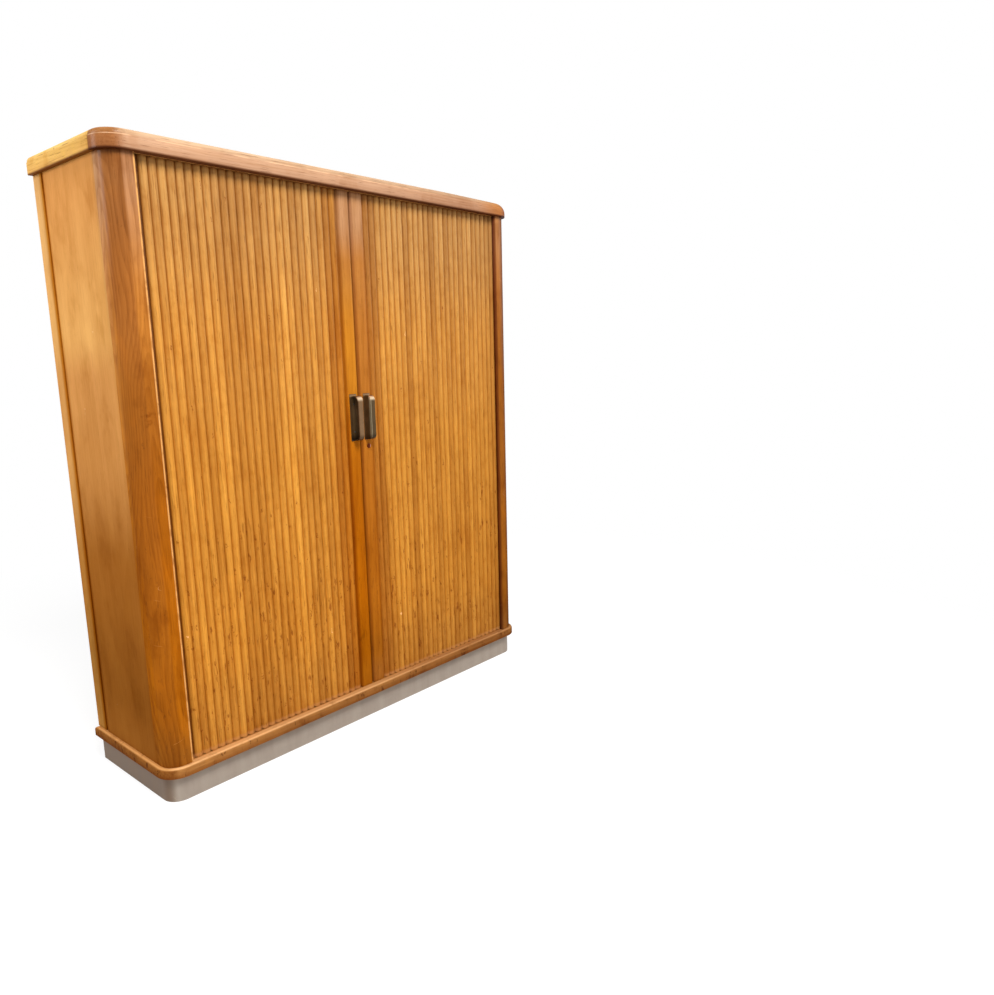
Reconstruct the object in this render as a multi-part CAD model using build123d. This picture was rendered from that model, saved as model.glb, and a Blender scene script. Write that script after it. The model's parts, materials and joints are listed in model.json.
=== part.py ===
from build123d import *
import math
import os

os.makedirs("parts", exist_ok=True)

# Millimetres, Z up. Plan sizes are measured from the body's left side and from the front
# of its corner posts. The part's origin is under the middle of its bounding box.

# Body
body_width = 1640.0
body_depth = 492.0
inner_height = 1778.0
corner_radius = 55.0
wall = 14.0
post_width = 81.0
post_return = 78.0
post_front_round = 8.0
rear_post_width = 60.0
side_groove_width = 12.0
side_groove_depth = 4.0

# Boards above and below the body
overhang = 14.0
edging_width = 26.0
edging_joint = 62.0
top_fascia = 36.0
top_crown = 18.0
crown_step = 2.0
crown_round = 15.0
worn_round = 42.0
worn_plan_round = 73.0
worn_fade = 1.0
base_thickness = 32.0
base_round = 10.0
under_round = 2.0

# Plinth
plinth_height = 86.0
plinth_side_inset = 4.0
plinth_front_inset = 10.0
plinth_back_inset = 10.0
plinth_board = 20.0
plinth_joint = 75.0
bearer_thickness = 22.0

# Curtain doors and the groove that they run in
crest_clearance = 2.0
slat_depth = 9.0
slat_land = 2.0
slat_pitch = 26.6
slat_gap = 0.6
slat_cover = 12.4
slat_end_play = 1.5
tongue_thickness = 6.0
tongue_setback = 2.0
tongue_length = 10.0
groove_play = 0.5
groove_depth = 8.0
tongue_rest = 0.3
canvas_thickness = 0.8
tail_turn = 47.0

# Meeting stiles
stile_width = 55.2
stile_depth = 20.0
stile_lip = 2.4
stile_round = 11.0
meeting_gap = 3.0
curtain_gap = 0.3

# Inside
pocket_play = 5.2
interior_front = 52.0
partition_thickness = 18.0
back_panel_thickness = 6.0
back_rebate = 9.0
batten_width = 40.0
shelf_count = 4
shelf_thickness = 22.0
shelf_side_play = 1.0
shelf_setback = 2.0
shelf_round = 3.0
support_inset = 38.0
support_reach = 8.0
support_width = 14.0
support_height = 6.0
support_pin_radius = 2.5
support_pin_length = 8.0
pin_play = 0.1
hole_end_play = 0.4

# Handles
handle_reach = 40.0
handle_lip_reach = 38.5
handle_height = 157.0
handle_width = 20.0
handle_bottom = 1048.0
handle_round = 18.0
hollow_round = 18.0
handle_wall = 2.5
plate_thickness = 2.5
plate_margin_above = 6.0
plate_margin_below = 2.0
plate_width = 29.5
plate_from_meeting = 14.5
grip_from_meeting = 16.5
handle_screw_inset = 30.0

# Wood screws
screw_radius = 1.75
screw_length = 16.0
screw_head_radius = 3.5
screw_head_height = 2.0
screw_hole_play = 0.15
back_screw_rows = 5
back_screw_end_inset = 60.0

# Lock in the right-hand stile
lock_from_meeting = 31.0
lock_below_handle = 26.0
plug_radius = 6.0
plug_play = 0.08
plug_proud = 1.8
key_slot_width = 1.6
key_slot_height = 8.0
key_slot_depth = 6.0
ring_radius = 8.5
ring_thickness = 1.3
bearing_size = 30.0
bearing_thickness = 1.8
hook_play = 0.5
hook_thickness = 3.0
hook_width = 10.0
hook_length = 46.0
hook_prong = 8.0
hook_prong_width = 6.0
boss_size = 6.0
boss_play = 0.08
boss_proud = 1.0
keeper_thickness = 4.0
keeper_height = 11.0
keeper_play = 1.0
keeper_side_play = 2.0

# Places that follow from the sizes
base_top = plinth_height + base_thickness
top_bottom = base_top + inner_height
fascia_top = top_bottom + top_fascia
top_top = fascia_top + top_crown
slat_crest = wall + crest_clearance
slat_back = slat_crest + slat_depth
tongue_front = slat_crest + tongue_setback
tongue_back = tongue_front + tongue_thickness
canvas_back = slat_back + canvas_thickness
pocket_inner = canvas_back + pocket_play
middle = body_width / 2
stile_right = middle - meeting_gap / 2
stile_left = stile_right - stile_width
lip_left = stile_left - stile_lip
curtain_span = lip_left - curtain_gap - post_width + slat_cover
slat_count = round(curtain_span / slat_pitch)
slat_step = curtain_span / slat_count
slat_width = slat_step - slat_gap
stile_back = slat_crest + stile_depth
slat_bottom = base_top + slat_end_play
slat_top = top_bottom - slat_end_play
tongue_bottom = base_top - groove_depth + tongue_rest
tongue_top = top_bottom + groove_depth - tongue_rest
handle_front = slat_crest - handle_reach
lip_front = slat_crest - handle_lip_reach
lock_height = handle_bottom - lock_below_handle
front_y = -(body_depth + handle_front) / 2
partition_left = middle - partition_thickness / 2
liner_inner = pocket_inner + wall
bay_height = (inner_height - shelf_count * shelf_thickness) / (shelf_count + 1)


def at(x, y):
    """Part coordinates of a plan point measured from the left side and the posts' front."""
    return (x - body_width / 2, y + front_y)


def box(x0, x1, y0, y1, z0, z1):
    """Block between two plan points and two heights."""
    px, py = at(x0, y0)
    low = (Align.MIN, Align.MIN, Align.MIN)
    return Pos(px, py, z0) * Box(x1 - x0, y1 - y0, z1 - z0, align=low)


def rod_y(x, z, radius, y0, y1):
    """Cylinder along Y at a plan x and a height."""
    px, py = at(x, y0)
    low = (Align.CENTER, Align.CENTER, Align.MIN)
    return Pos(px, py, z) * Rot(-90, 0, 0) * Cylinder(radius, y1 - y0, align=low)


def rod_x(y, z, radius, x0, x1):
    """Cylinder along X at a plan y and a height."""
    px, py = at(x0, y)
    low = (Align.CENTER, Align.CENTER, Align.MIN)
    return Pos(px, py, z) * Rot(0, 90, 0) * Cylinder(radius, x1 - x0, align=low)


def prism(sketch, z0, z1):
    return extrude(Plane.XY.offset(z0) * sketch, amount=z1 - z0)


def outline(grow, back, setback=0.0):
    """Plan shape that stands `grow` past the body, with round front corners and a square back."""
    radius = corner_radius + grow
    width = body_width + 2 * grow
    front = setback - grow
    length = back - front
    full = length + 2 * radius
    x, y = at(middle, front)
    rounded = Pos(x, y + full / 2) * RectangleRounded(width, full, radius)
    return rounded & (Pos(x, y + length / 2) * Rectangle(width, length))


def flat_area(x0, x1, y0, y1):
    x, y = at((x0 + x1) / 2, (y0 + y1) / 2)
    return Pos(x, y) * Rectangle(x1 - x0, y1 - y0)


def other_side(shape):
    return mirror(shape, about=Plane.YZ)


def save(name, shape):
    shape.label = name
    export_step(shape, f"parts/{name}.step")


def save_pair(name, shape):
    save(f"{name}_left", shape)
    save(f"{name}_right", other_side(shape))


def rim(solid, z):
    """Edges of a board at height z."""
    return [e for e in solid.edges() if abs(e.center().Z - z) < 0.01]


def upright_edges(solid, x, y):
    px, py = at(x, y)
    found = solid.edges().filter_by(Axis.Z)
    return [e for e in found if abs(e.center().X - px) < 0.01 and abs(e.center().Y - py) < 0.01]


def groove_area():
    """Plan of the curtain groove: one ring inside the walls, broken at the middle of the back."""
    x, y = at(middle, body_depth / 2)
    outer = tongue_front - groove_play
    inner = tongue_back + groove_play
    ring = RectangleRounded(body_width - 2 * outer, body_depth - 2 * outer, corner_radius - outer)
    ring -= RectangleRounded(body_width - 2 * inner, body_depth - 2 * inner, corner_radius - inner)
    gap = batten_width / 2 + groove_play
    back = flat_area(middle - gap, middle + gap, body_depth - corner_radius, body_depth)
    return Pos(x, y) * ring - back


def split_board(slab, z0, z1, name):
    """Cuts a slab into its middle board, its front edging and two side edgings."""
    core = prism(outline(overhang - edging_width, body_depth), z0, z1)
    board = slab & core
    rest = slab - core
    far = body_width + overhang
    front = rest & box(-overhang, far, -overhang, edging_joint, z0, z1)
    left = rest & box(-overhang, edging_width, edging_joint, body_depth, z0, z1)
    right = rest & box(body_width - edging_width, far, edging_joint, body_depth, z0, z1)
    save(f"{name}_front_edging", front)
    save(f"{name}_side_edging_left", left)
    save(f"{name}_side_edging_right", right)
    return board


def worn_corner():
    """What is left of the top's right front corner: its round fades out along both edges."""
    turn = math.radians(worn_fade)
    x0, y0 = at(body_width + overhang, -overhang)
    along = 2 * body_width
    left = (x0 - along * math.cos(turn), y0 - along * math.sin(turn))
    behind = (x0 + along * math.sin(turn), y0 + along * math.cos(turn))
    plan = make_face(Polyline([(x0, y0), left, (left[0], behind[1]), behind], close=True))
    corner = [v for v in plan.vertices() if abs(v.X - x0) < 0.01 and abs(v.Y - y0) < 0.01]
    plan = fillet(corner, worn_plan_round)
    slab = prism(plan, top_bottom - worn_round, top_top)
    apex = Vector(x0, y0, top_top)
    near = [e for e in rim(slab, top_top) if (e.center() - apex).length < along * 0.75]
    slab = fillet(near, worn_round)
    return slab.rotate(Axis((x0, y0, top_top), (1, 1, 0)), worn_fade)


def top():
    """Thick top: an upright fascia, a small step and a rounded crown."""
    fascia = prism(outline(overhang, body_depth), top_bottom, fascia_top)
    fascia = fillet(rim(fascia, top_bottom), under_round)
    crown = prism(outline(overhang - crown_step, body_depth), fascia_top, top_top)
    crown = fillet(rim(crown, top_top), crown_round)
    slab = (fascia + crown) & worn_corner()
    board = split_board(slab, top_bottom, top_top, "top")
    groove = prism(groove_area(), top_bottom, top_bottom + groove_depth)
    save("top_board", board - groove)


def base():
    """Base board with a rounded ledge that stands out past the body."""
    slab = prism(outline(overhang, body_depth), plinth_height, base_top)
    slab = fillet(rim(slab, base_top), base_round)
    slab = fillet(rim(slab, plinth_height), under_round)
    board = split_board(slab, plinth_height, base_top, "base")
    groove = prism(groove_area(), base_top - groove_depth, base_top)
    save("base_board", board - groove)


def plinth():
    """Plinth boards under the base, the front one bent round both corners."""
    back = body_depth - plinth_back_inset
    inset = plinth_side_inset
    inner = inset + plinth_board
    outer = outline(-inset, back, plinth_front_inset - inset)
    hollow = outline(-inner, back, plinth_front_inset - inset)
    front = (outer - hollow) & flat_area(0, body_width, 0, plinth_joint)
    save("plinth_front", prism(front, 0, plinth_height))
    save_pair("plinth_side", box(inset, inner, plinth_joint, back, 0, plinth_height))
    rail = box(inner, body_width - inner, back - plinth_board, back, 0, plinth_height)
    save("plinth_back", rail)
    y0 = plinth_front_inset + plinth_board
    y1 = back - plinth_board
    x0 = body_width / 3 - bearer_thickness / 2
    bearer = box(x0, x0 + bearer_thickness, y0, y1, 0, plinth_height)
    save("plinth_bearers", Compound([bearer, other_side(bearer)]))


def sides():
    """Round corner posts, side panels and rear posts."""
    ring = outline(0, body_depth) - outline(-wall, body_depth)
    post = prism(ring & flat_area(0, post_width, 0, post_return), base_top, top_bottom)
    post = fillet(upright_edges(post, post_width, 0), post_front_round)
    save_pair("corner_post", post)
    rear = body_depth - rear_post_width
    panel = box(0, wall, post_return, rear, base_top, top_bottom)
    panel -= box(0, side_groove_depth, rear - side_groove_width, rear, base_top, top_bottom)
    save_pair("side_panel", panel)
    rebate = body_depth - back_panel_thickness
    back_post = box(0, wall, rear, body_depth, base_top, top_bottom)
    back_post -= box(wall - back_rebate, wall, rebate, body_depth, base_top, top_bottom)
    for z in screw_heights():
        back_post -= screw_hole(back_screw_x()[0], z)
    save_pair("rear_post", back_post)


def screw_heights():
    low = base_top + back_screw_end_inset
    step = (inner_height - 2 * back_screw_end_inset) / (back_screw_rows - 1)
    return [low + step * i for i in range(back_screw_rows)]


def back_screw_x():
    """Plan x of the outer and the middle column of screws in the left back panel."""
    return [wall - back_rebate / 2, middle - batten_width / 4]


def screw_hole(x, z):
    """Shank hole of a back screw, through what lies in front of the panel."""
    start = body_depth - screw_head_height - screw_length - hole_end_play
    return rod_y(x, z, screw_radius + screw_hole_play, start, body_depth)


def back():
    """Outer back panels, the batten between them and their screws."""
    z0, z1 = base_top, top_bottom
    inside = body_depth - back_panel_thickness
    panel = box(wall - back_rebate, middle, inside, body_depth, z0, z1)
    half = batten_width / 2
    batten_front = body_depth - pocket_inner
    batten = box(middle - half, middle + half, batten_front, inside, z0, z1)
    screws = []
    for x in back_screw_x():
        for z in screw_heights():
            head_back = body_depth - screw_head_height
            head = rod_y(x, z, screw_head_radius, head_back, body_depth)
            shank = rod_y(x, z, screw_radius, head_back - screw_length, head_back)
            screws.append((head + shank).solid())
            panel -= screw_hole(x, z)
            sink = screw_head_radius + screw_hole_play
            panel -= rod_y(x, z, sink, head_back, body_depth)
            if x > middle - half:
                hole = screw_hole(x, z)
                batten = batten - hole - other_side(hole)
    save_pair("outer_back", panel)
    save("back_batten", batten)
    save("back_screws", Compound(screws + [other_side(s) for s in screws]))


def inside():
    """Linings that close off the curtain's pocket, the partition and the shelves."""
    z0, z1 = base_top, top_bottom
    turn_y = body_depth - corner_radius
    back_face = body_depth - pocket_inner
    liner = box(pocket_inner, liner_inner, interior_front, turn_y, z0, z1)
    radius = corner_radius - pocket_inner
    x, y = at(corner_radius, turn_y)
    quarter = Pos(x, y) * (Circle(radius) - Circle(radius - wall))
    quarter &= flat_area(0, corner_radius, turn_y, body_depth)
    save_pair("pocket_corner", prism(quarter, z0, z1))
    save_pair("inner_back", box(corner_radius, middle, back_face - wall, back_face, z0, z1))
    right = middle + partition_thickness / 2
    partition = box(partition_left, right, interior_front, back_face - wall, z0, z1)
    shelf_back = back_face - wall - shelf_setback
    ys = [interior_front + support_inset, shelf_back - support_inset]
    supports = []
    for i in range(shelf_count):
        z = base_top + bay_height * (i + 1) + shelf_thickness * i
        save_pair(f"shelf_{i + 1}", shelf(z, shelf_back))
        for y in ys:
            supports.append(support(liner_inner, 1, y, z))
            supports.append(support(partition_left, -1, y, z))
            liner -= support_hole(liner_inner, 1, y, z)
            hole = support_hole(partition_left, -1, y, z)
            partition = partition - hole - other_side(hole)
    save_pair("liner", liner)
    save("partition", partition)
    save_pair("shelf_supports", Compound(supports))


def shelf(z, shelf_back):
    x0 = liner_inner + shelf_side_play
    x1 = partition_left - shelf_side_play
    y0 = interior_front + shelf_setback
    board = box(x0, x1, y0, shelf_back, z, z + shelf_thickness)
    _, front = at(0, y0)
    edges = [e for e in board.edges().filter_by(Axis.X) if abs(e.center().Y - front) < 0.01]
    board = fillet(edges, shelf_round)
    return chamfer(upright_edges(board, x0, shelf_back), corner_radius - liner_inner)


def support(face, direction, y, z):
    """Bracket under a shelf with its round pin in the panel behind it."""
    middle_z = z - support_height / 2
    near, far = sorted([face, face + direction * support_reach])
    half = support_width / 2
    block = box(near, far, y - half, y + half, z - support_height, z)
    near, far = sorted([face - direction * support_pin_length, face])
    return (block + rod_x(y, middle_z, support_pin_radius, near, far)).solid()


def support_hole(face, direction, y, z):
    depth = support_pin_length + hole_end_play
    near, far = sorted([face - direction * depth, face])
    return rod_x(y, z - support_height / 2, support_pin_radius + pin_play, near, far)


def slat():
    """One slat about the plan point (0, 0) at the middle of its back, crest towards -Y."""
    half = slat_width / 2
    land = -slat_land
    rounded = ThreePointArc((half, land), (0, -slat_depth), (-half, land))
    lines = [Line((-half, 0), (half, 0)), Line((half, 0), (half, land)), rounded]
    face = make_face(lines + [Line((-half, land), (-half, 0))])
    body = prism(face, slat_bottom, slat_top)
    low = (Align.CENTER, Align.MIN, Align.MIN)
    height = tongue_top - tongue_bottom
    tongue = Box(tongue_length, tongue_thickness, height, align=low)
    offset = tongue_front - slat_back
    return (body + Pos(0, offset, tongue_bottom) * tongue).solid()


def slat_x(n):
    """Plan x of the middle of slat n, counted from the meeting stile."""
    return lip_left - curtain_gap - slat_width / 2 - slat_step * n


def curtain():
    """Slats of the left door with their canvas, and the tail that stays round the corner."""
    one = slat()
    shown = []
    for n in range(slat_count):
        x, y = at(slat_x(n), slat_back)
        shown.append(Pos(x, y, 0) * one)
    save_pair("curtain_slats", Compound(shown))
    end = slat_x(slat_count - 1) - slat_step / 2
    sheet = box(end, stile_left, slat_back, canvas_back, slat_bottom, slat_top)
    save_pair("curtain_canvas", sheet)

    turn = math.radians(tail_turn)
    reach = corner_radius - slat_back
    bend_x = corner_radius - reach * math.sin(turn)
    bend_y = corner_radius - reach * math.cos(turn)
    first = Pos(*at(slat_x(slat_count), slat_back), 0) * one
    second = Pos(*at(bend_x, bend_y), 0) * Rot(0, 0, -tail_turn) * one
    corner_x = bend_x + (bend_y - slat_back) / math.tan(turn)
    corner_y = bend_y + (bend_x - slat_back) * math.tan(turn)
    third_y = corner_y + slat_step / 2 + slat_gap * 2
    third = Pos(*at(slat_back, third_y), 0) * Rot(0, 0, -90) * one
    save_pair("curtain_tail_slats", Compound([first, second, third]))

    thin = canvas_thickness
    tail_end = third_y + slat_step / 2
    run_in = thin * math.tan(turn / 2)
    run_out = thin * (1 - math.sin(turn)) / math.cos(turn)
    points = [(end, slat_back), (corner_x, slat_back), (slat_back, corner_y), (slat_back, tail_end)]
    points += [(canvas_back, tail_end), (canvas_back, corner_y + run_out)]
    points += [(corner_x + run_in, canvas_back), (end, canvas_back)]
    plan = [at(x, y) for x, y in points]
    sheet = prism(make_face(Polyline(plan, close=True)), slat_bottom, slat_top)
    save_pair("curtain_tail_canvas", sheet)


def stile():
    """Meeting stile of the left door, with its tongues and the holes for its handle."""
    bar = box(stile_left, stile_right, slat_crest, stile_back, slat_bottom, slat_top)
    edges = upright_edges(bar, stile_left, slat_crest) + upright_edges(bar, stile_right, slat_crest)
    bar = fillet(edges, stile_round)
    level = slat_back - slat_land
    inside_bar = stile_left + stile_round
    bar += box(lip_left, inside_bar, level, slat_back, slat_bottom, slat_top)
    near = stile_left + tongue_length / 2
    far = stile_right - tongue_length / 2
    bar += box(near, far, tongue_front, tongue_back, tongue_bottom, tongue_top)
    radius = screw_radius + screw_hole_play
    for z in handle_screw_heights():
        end = slat_crest + screw_length - plate_thickness + hole_end_play
        bar -= rod_y(handle_screw_x(), z, radius, slat_crest, end)
    return bar


def handle_screw_heights():
    low = handle_bottom + handle_screw_inset
    return [low, handle_bottom + handle_height - handle_screw_inset]


def grip_sides():
    """Plan x of the open and the closed side of the left handle's grip."""
    closed = stile_right - grip_from_meeting
    return closed - handle_width, closed


def handle_screw_x():
    open_x, closed_x = grip_sides()
    return (open_x + closed_x - handle_wall) / 2


def grip_block(x0, x1, y_lip, y_closed, y_back, z0, z1, radius):
    """Block whose front slopes from the lip to the closed side, rounded above and below."""
    plan = [at(x0, y_back), at(x1, y_back), at(x1, y_closed), at(x0, y_lip)]
    block = prism(make_face(Polyline(plan, close=True)), z0, z1)
    _, front = at(0, (y_lip + y_closed) / 2)
    edges = [e for e in block.edges() if abs(e.center().Y - front) < 0.01]
    return fillet([e for e in edges if abs(e.center().Z - (z0 + z1) / 2) > 1], radius)


def handle():
    """Pull of the left door: a plate and a hollow grip, open on the side away from the meeting."""
    plate_front = slat_crest - plate_thickness
    z0 = handle_bottom
    z1 = handle_bottom + handle_height
    right = stile_right - plate_from_meeting
    left = right - plate_width
    top = z1 + plate_margin_above
    plate = box(left, right, plate_front, slat_crest, z0 - plate_margin_below, top)
    x0, x1 = grip_sides()
    grip = grip_block(x0, x1, lip_front, handle_front, plate_front, z0, z1, handle_round)
    w = handle_wall
    near, far = lip_front + w, handle_front + w
    hollow = grip_block(x0, x1 - w, near, far, plate_front, z0 + w, z1 - w, hollow_round)
    body = plate + (grip - hollow)
    screws = []
    for z in handle_screw_heights():
        x = handle_screw_x()
        body -= rod_y(x, z, screw_radius + screw_hole_play, plate_front, slat_crest)
        head = rod_y(x, z, screw_head_radius, plate_front - screw_head_height, plate_front)
        shank = rod_y(x, z, screw_radius, plate_front, plate_front + screw_length)
        screws.append((head + shank).solid())
    save_pair("handle", body)
    save_pair("handle_screws", Compound(screws))


def lock():
    """Lock of the right stile, made at the left one and mirrored: ring, plug, bearing and hook."""
    x = stile_right - lock_from_meeting
    z = lock_height
    hole = plug_radius + plug_play
    ring_front = slat_crest - ring_thickness
    ring = rod_y(x, z, ring_radius, ring_front, slat_crest)
    ring -= rod_y(x, z, hole, ring_front, slat_crest)
    save("lock_ring", other_side(ring))
    bearing_back = stile_back + bearing_thickness
    half = bearing_size / 2
    bearing = box(x - half, x + half, stile_back, bearing_back, z - half, z + half)
    bearing -= rod_y(x, z, hole, stile_back, bearing_back)
    save("lock_bearing", other_side(bearing))
    hook_front = bearing_back + hook_play
    hook_back = hook_front + hook_thickness
    front = slat_crest - plug_proud
    plug = rod_y(x, z, plug_radius, front, hook_front)
    b = boss_size / 2
    plug += box(x - b, x + b, hook_front, hook_back + boss_proud, z - b, z + b)
    slot = key_slot_width / 2
    tall = key_slot_height / 2
    plug -= box(x - slot, x + slot, front, front + key_slot_depth, z - tall, z + tall)
    save("lock_plug", other_side(plug))
    wide = hook_width / 2
    tip = z + hook_length
    arm = box(x - wide, x + wide, hook_front, hook_back, z - plug_radius, tip)
    prong_bottom = tip - hook_prong_width
    arm += box(x + wide, x + wide + hook_prong, hook_front, hook_back, prong_bottom, tip)
    b += boss_play
    arm -= box(x - b, x + b, hook_front, hook_back, z - b, z + b)
    save("lock_hook", other_side(arm))
    bar = stile() - rod_y(x, z, hole, slat_crest, stile_back)
    save("meeting_stile_left", stile())
    save("meeting_stile_right", other_side(bar))
    reach = body_width - x - hook_length + hook_prong_width + keeper_side_play
    under = z - wide - keeper_play
    keeper = box(
        reach, reach + keeper_thickness, stile_back, hook_back, under - keeper_height, under
    )
    save("lock_keeper", keeper)


top()
base()
plinth()
sides()
back()
inside()
curtain()
handle()
lock()
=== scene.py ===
# %% [markdown]
# A shelving cabinet with curtain doors
#
# The real cabinet is a tall office cupboard on a grey plinth. Each of its two doors is a curtain of
# upright wooden slats glued to canvas, which slides sideways and disappears round the corner. The
# joiner's boards come ready from the CAD model, which stays where it is. This lesson adds what a CAD
# model lacks: daylight, a floor, wood grain, stains, worn edges, and finer slats, pulls and screws.

import json
import math

import bmesh
import bpy
from mathutils import Matrix, Vector

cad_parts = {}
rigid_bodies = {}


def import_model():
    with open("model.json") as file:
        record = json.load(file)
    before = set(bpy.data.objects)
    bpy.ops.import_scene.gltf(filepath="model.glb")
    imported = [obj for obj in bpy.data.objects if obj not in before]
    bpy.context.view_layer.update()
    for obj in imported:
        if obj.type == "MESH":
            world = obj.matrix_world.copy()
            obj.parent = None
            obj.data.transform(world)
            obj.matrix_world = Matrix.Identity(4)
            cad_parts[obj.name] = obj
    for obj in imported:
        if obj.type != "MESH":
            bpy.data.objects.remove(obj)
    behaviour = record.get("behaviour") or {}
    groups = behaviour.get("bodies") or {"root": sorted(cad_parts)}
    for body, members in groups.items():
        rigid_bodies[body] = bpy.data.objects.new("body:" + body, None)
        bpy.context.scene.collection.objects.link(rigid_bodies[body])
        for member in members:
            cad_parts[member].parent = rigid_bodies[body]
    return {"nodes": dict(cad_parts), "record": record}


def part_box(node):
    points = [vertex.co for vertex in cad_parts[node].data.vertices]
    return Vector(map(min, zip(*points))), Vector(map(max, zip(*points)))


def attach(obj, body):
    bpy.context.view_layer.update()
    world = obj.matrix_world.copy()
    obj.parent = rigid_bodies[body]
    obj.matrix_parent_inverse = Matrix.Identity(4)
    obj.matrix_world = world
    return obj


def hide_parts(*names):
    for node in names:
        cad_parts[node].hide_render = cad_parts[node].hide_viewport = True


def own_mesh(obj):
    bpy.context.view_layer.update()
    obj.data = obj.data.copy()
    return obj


for left_over in list(bpy.data.objects):
    bpy.data.objects.remove(left_over)

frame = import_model()
nodes = frame["nodes"]
scene = bpy.context.scene
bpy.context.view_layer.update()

# %% [markdown]
# The camera
#
# The picture was taken by someone standing off the cabinet's left front corner, with the lens at
# chest height and tipped down ten degrees. The place and the three directions of the camera come
# from the lines of the cabinet in the picture. A matrix states them most directly: its columns are
# the camera's right, its up, and the way back from the scene.

# %% Stand the camera where the picture was taken
camera_data = bpy.data.cameras.new("camera")
camera_data.lens = 28.374
camera_data.sensor_width = 36.0
camera = bpy.data.objects.new("camera", camera_data)
scene.collection.objects.link(camera)
to_the_right = Vector((0.65031462, -0.75940051, -0.02004395))
up_the_picture = Vector((0.1506834, 0.10308732, 0.98319251))
back_from_scene = Vector((-0.74457062, -0.64240476, 0.18146824))
turned = Matrix((to_the_right, up_the_picture, back_from_scene)).transposed()
standing_at = (-1.81628, -2.42346, 1.34477)
camera.matrix_world = Matrix.Translation(standing_at) @ turned.to_4x4()
scene.camera = camera
scene.view_settings.view_transform = "Standard"
print("camera at", tuple(round(x, 3) for x in standing_at))

# %% [markdown]
# Node helpers
#
# Every material, shape tree and light below is a graph of nodes. A few short helpers keep the cells
# readable: put adds a node and fills its inputs, and the others add the kinds that are needed most.
# An input is filled with a plain value or with the output of another node.


# %% Helpers that add a node, a sum or a ramp
def fill(tree, socket, value):
    if isinstance(value, bpy.types.NodeSocket):
        tree.links.new(value, socket)
    else:
        socket.default_value = value


def put(tree, kind, inputs=None, **settings):
    """Adds a node, sets its settings, and fills its inputs by name or number."""
    node = tree.nodes.new(kind)
    for name, value in settings.items():
        setattr(node, name, value)
    for name, value in (inputs or {}).items():
        fill(tree, node.inputs[name], value)
    return node


def maths(tree, operation, *values, clamp=False):
    """The output of one Math node; it serves shader and geometry trees alike."""
    inputs = dict(enumerate(values))
    return put(tree, "ShaderNodeMath", inputs, operation=operation, use_clamp=clamp).outputs[0]


def product(tree, first, *others):
    for other in others:
        first = maths(tree, "MULTIPLY", first, other)
    return first


def square(tree, value):
    return maths(tree, "POWER", value, 2.0)


def vectors(tree, operation, *values):
    """The output of one Vector Math node: a vector, or the number that a length or distance is."""
    node = put(tree, "ShaderNodeVectorMath", dict(enumerate(values)), operation=operation)
    return node.outputs["Value" if operation in ("LENGTH", "DISTANCE") else "Vector"]


def split(tree, vector):
    """The three parts of a vector, by number or by axis name."""
    return put(tree, "ShaderNodeSeparateXYZ", {0: vector}).outputs


def ramp(tree, value, low, high, to_low=0.0, to_high=1.0):
    """Takes value from the range low to high smoothly into the range to_low to to_high."""
    inputs = dict(enumerate((value, low, high, to_low, to_high)))
    node = put(tree, "ShaderNodeMapRange", inputs, interpolation_type="SMOOTHSTEP")
    return node.outputs[0]


def fade(tree, value, low, high, start=1.0):
    """A ramp that falls: start below low, and nothing above high."""
    return ramp(tree, value, low, high, start, 0.0)


# %% Helpers that add a colour or a pattern
def blend(tree, share, first, second, how="MIX"):
    """Blends two colours."""
    inputs = {0: share, 6: first, 7: second}
    node = put(tree, "ShaderNodeMix", inputs, data_type="RGBA", blend_type=how)
    return node.outputs[2]


def colour(red, green, blue):
    """A screen colour from 0 to 255 as the linear colour that Blender mixes with."""
    parts = [c / 255 for c in (red, green, blue)]
    return (*[c / 12.92 if c <= 0.04045 else ((c + 0.055) / 1.055) ** 2.4 for c in parts], 1)


def by_height(tree, height, stops):
    """A tint that changes from the floor to the top; stops are (height in metres, tint)."""
    tallest = 2.0
    node = put(tree, "ShaderNodeValToRGB", {0: maths(tree, "DIVIDE", height, tallest)})
    marks = node.color_ramp.elements
    marks.remove(marks[-1])
    node.color_ramp.interpolation = "EASE"
    for number, (at, tint) in enumerate(stops):
        mark = marks.new(at / tallest) if number else marks[0]
        mark.position = at / tallest
        mark.color = (*tint, 1)
    return node.outputs[0]


def stretch(tree, place, factors):
    """Multiplies a position, so that a pattern gets closer along an axis with a large factor."""
    return vectors(tree, "MULTIPLY", place, factors)


def noise(tree, place, scale, detail=2.0, roughness=0.5):
    inputs = {"Vector": place, "Scale": scale, "Detail": detail, "Roughness": roughness}
    return put(tree, "ShaderNodeTexNoise", inputs).outputs["Fac"]


# %% [markdown]
# Light, backdrop and floor
#
# The cabinet was photographed in soft daylight and cut out on white. A world that is white to the
# camera and to reflections, but dimmer for light that falls on the wood, gives both. One large soft
# lamp from the left makes the slats' crests read, a smaller one near the side's upper part gives
# that side its fall from pale to dark, and a faint one keeps the right-hand end from going black.


# %% Make a world that lights softly and looks white
def seen_directly(tree):
    """1 for rays that should see the white backdrop: from the camera, in gloss and through glass."""
    path = put(tree, "ShaderNodeLightPath").outputs
    gloss = maths(tree, "MAXIMUM", path["Is Glossy Ray"], path["Is Transmission Ray"])
    return maths(tree, "MAXIMUM", path["Is Camera Ray"], gloss)


world = bpy.data.worlds.new("soft_daylight")
world.use_nodes = True
scene.world = world
sky = world.node_tree
sky.nodes.clear()
white = (1, 1, 1, 1)
sky_light = 0.46
strength = ramp(sky, seen_directly(sky), 0.0, 1.0, sky_light, 1.0)
background = put(sky, "ShaderNodeBackground", {"Color": white, "Strength": strength})
put(sky, "ShaderNodeOutputWorld", {"Surface": background.outputs[0]})
print("world lights with strength", sky_light)


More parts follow.
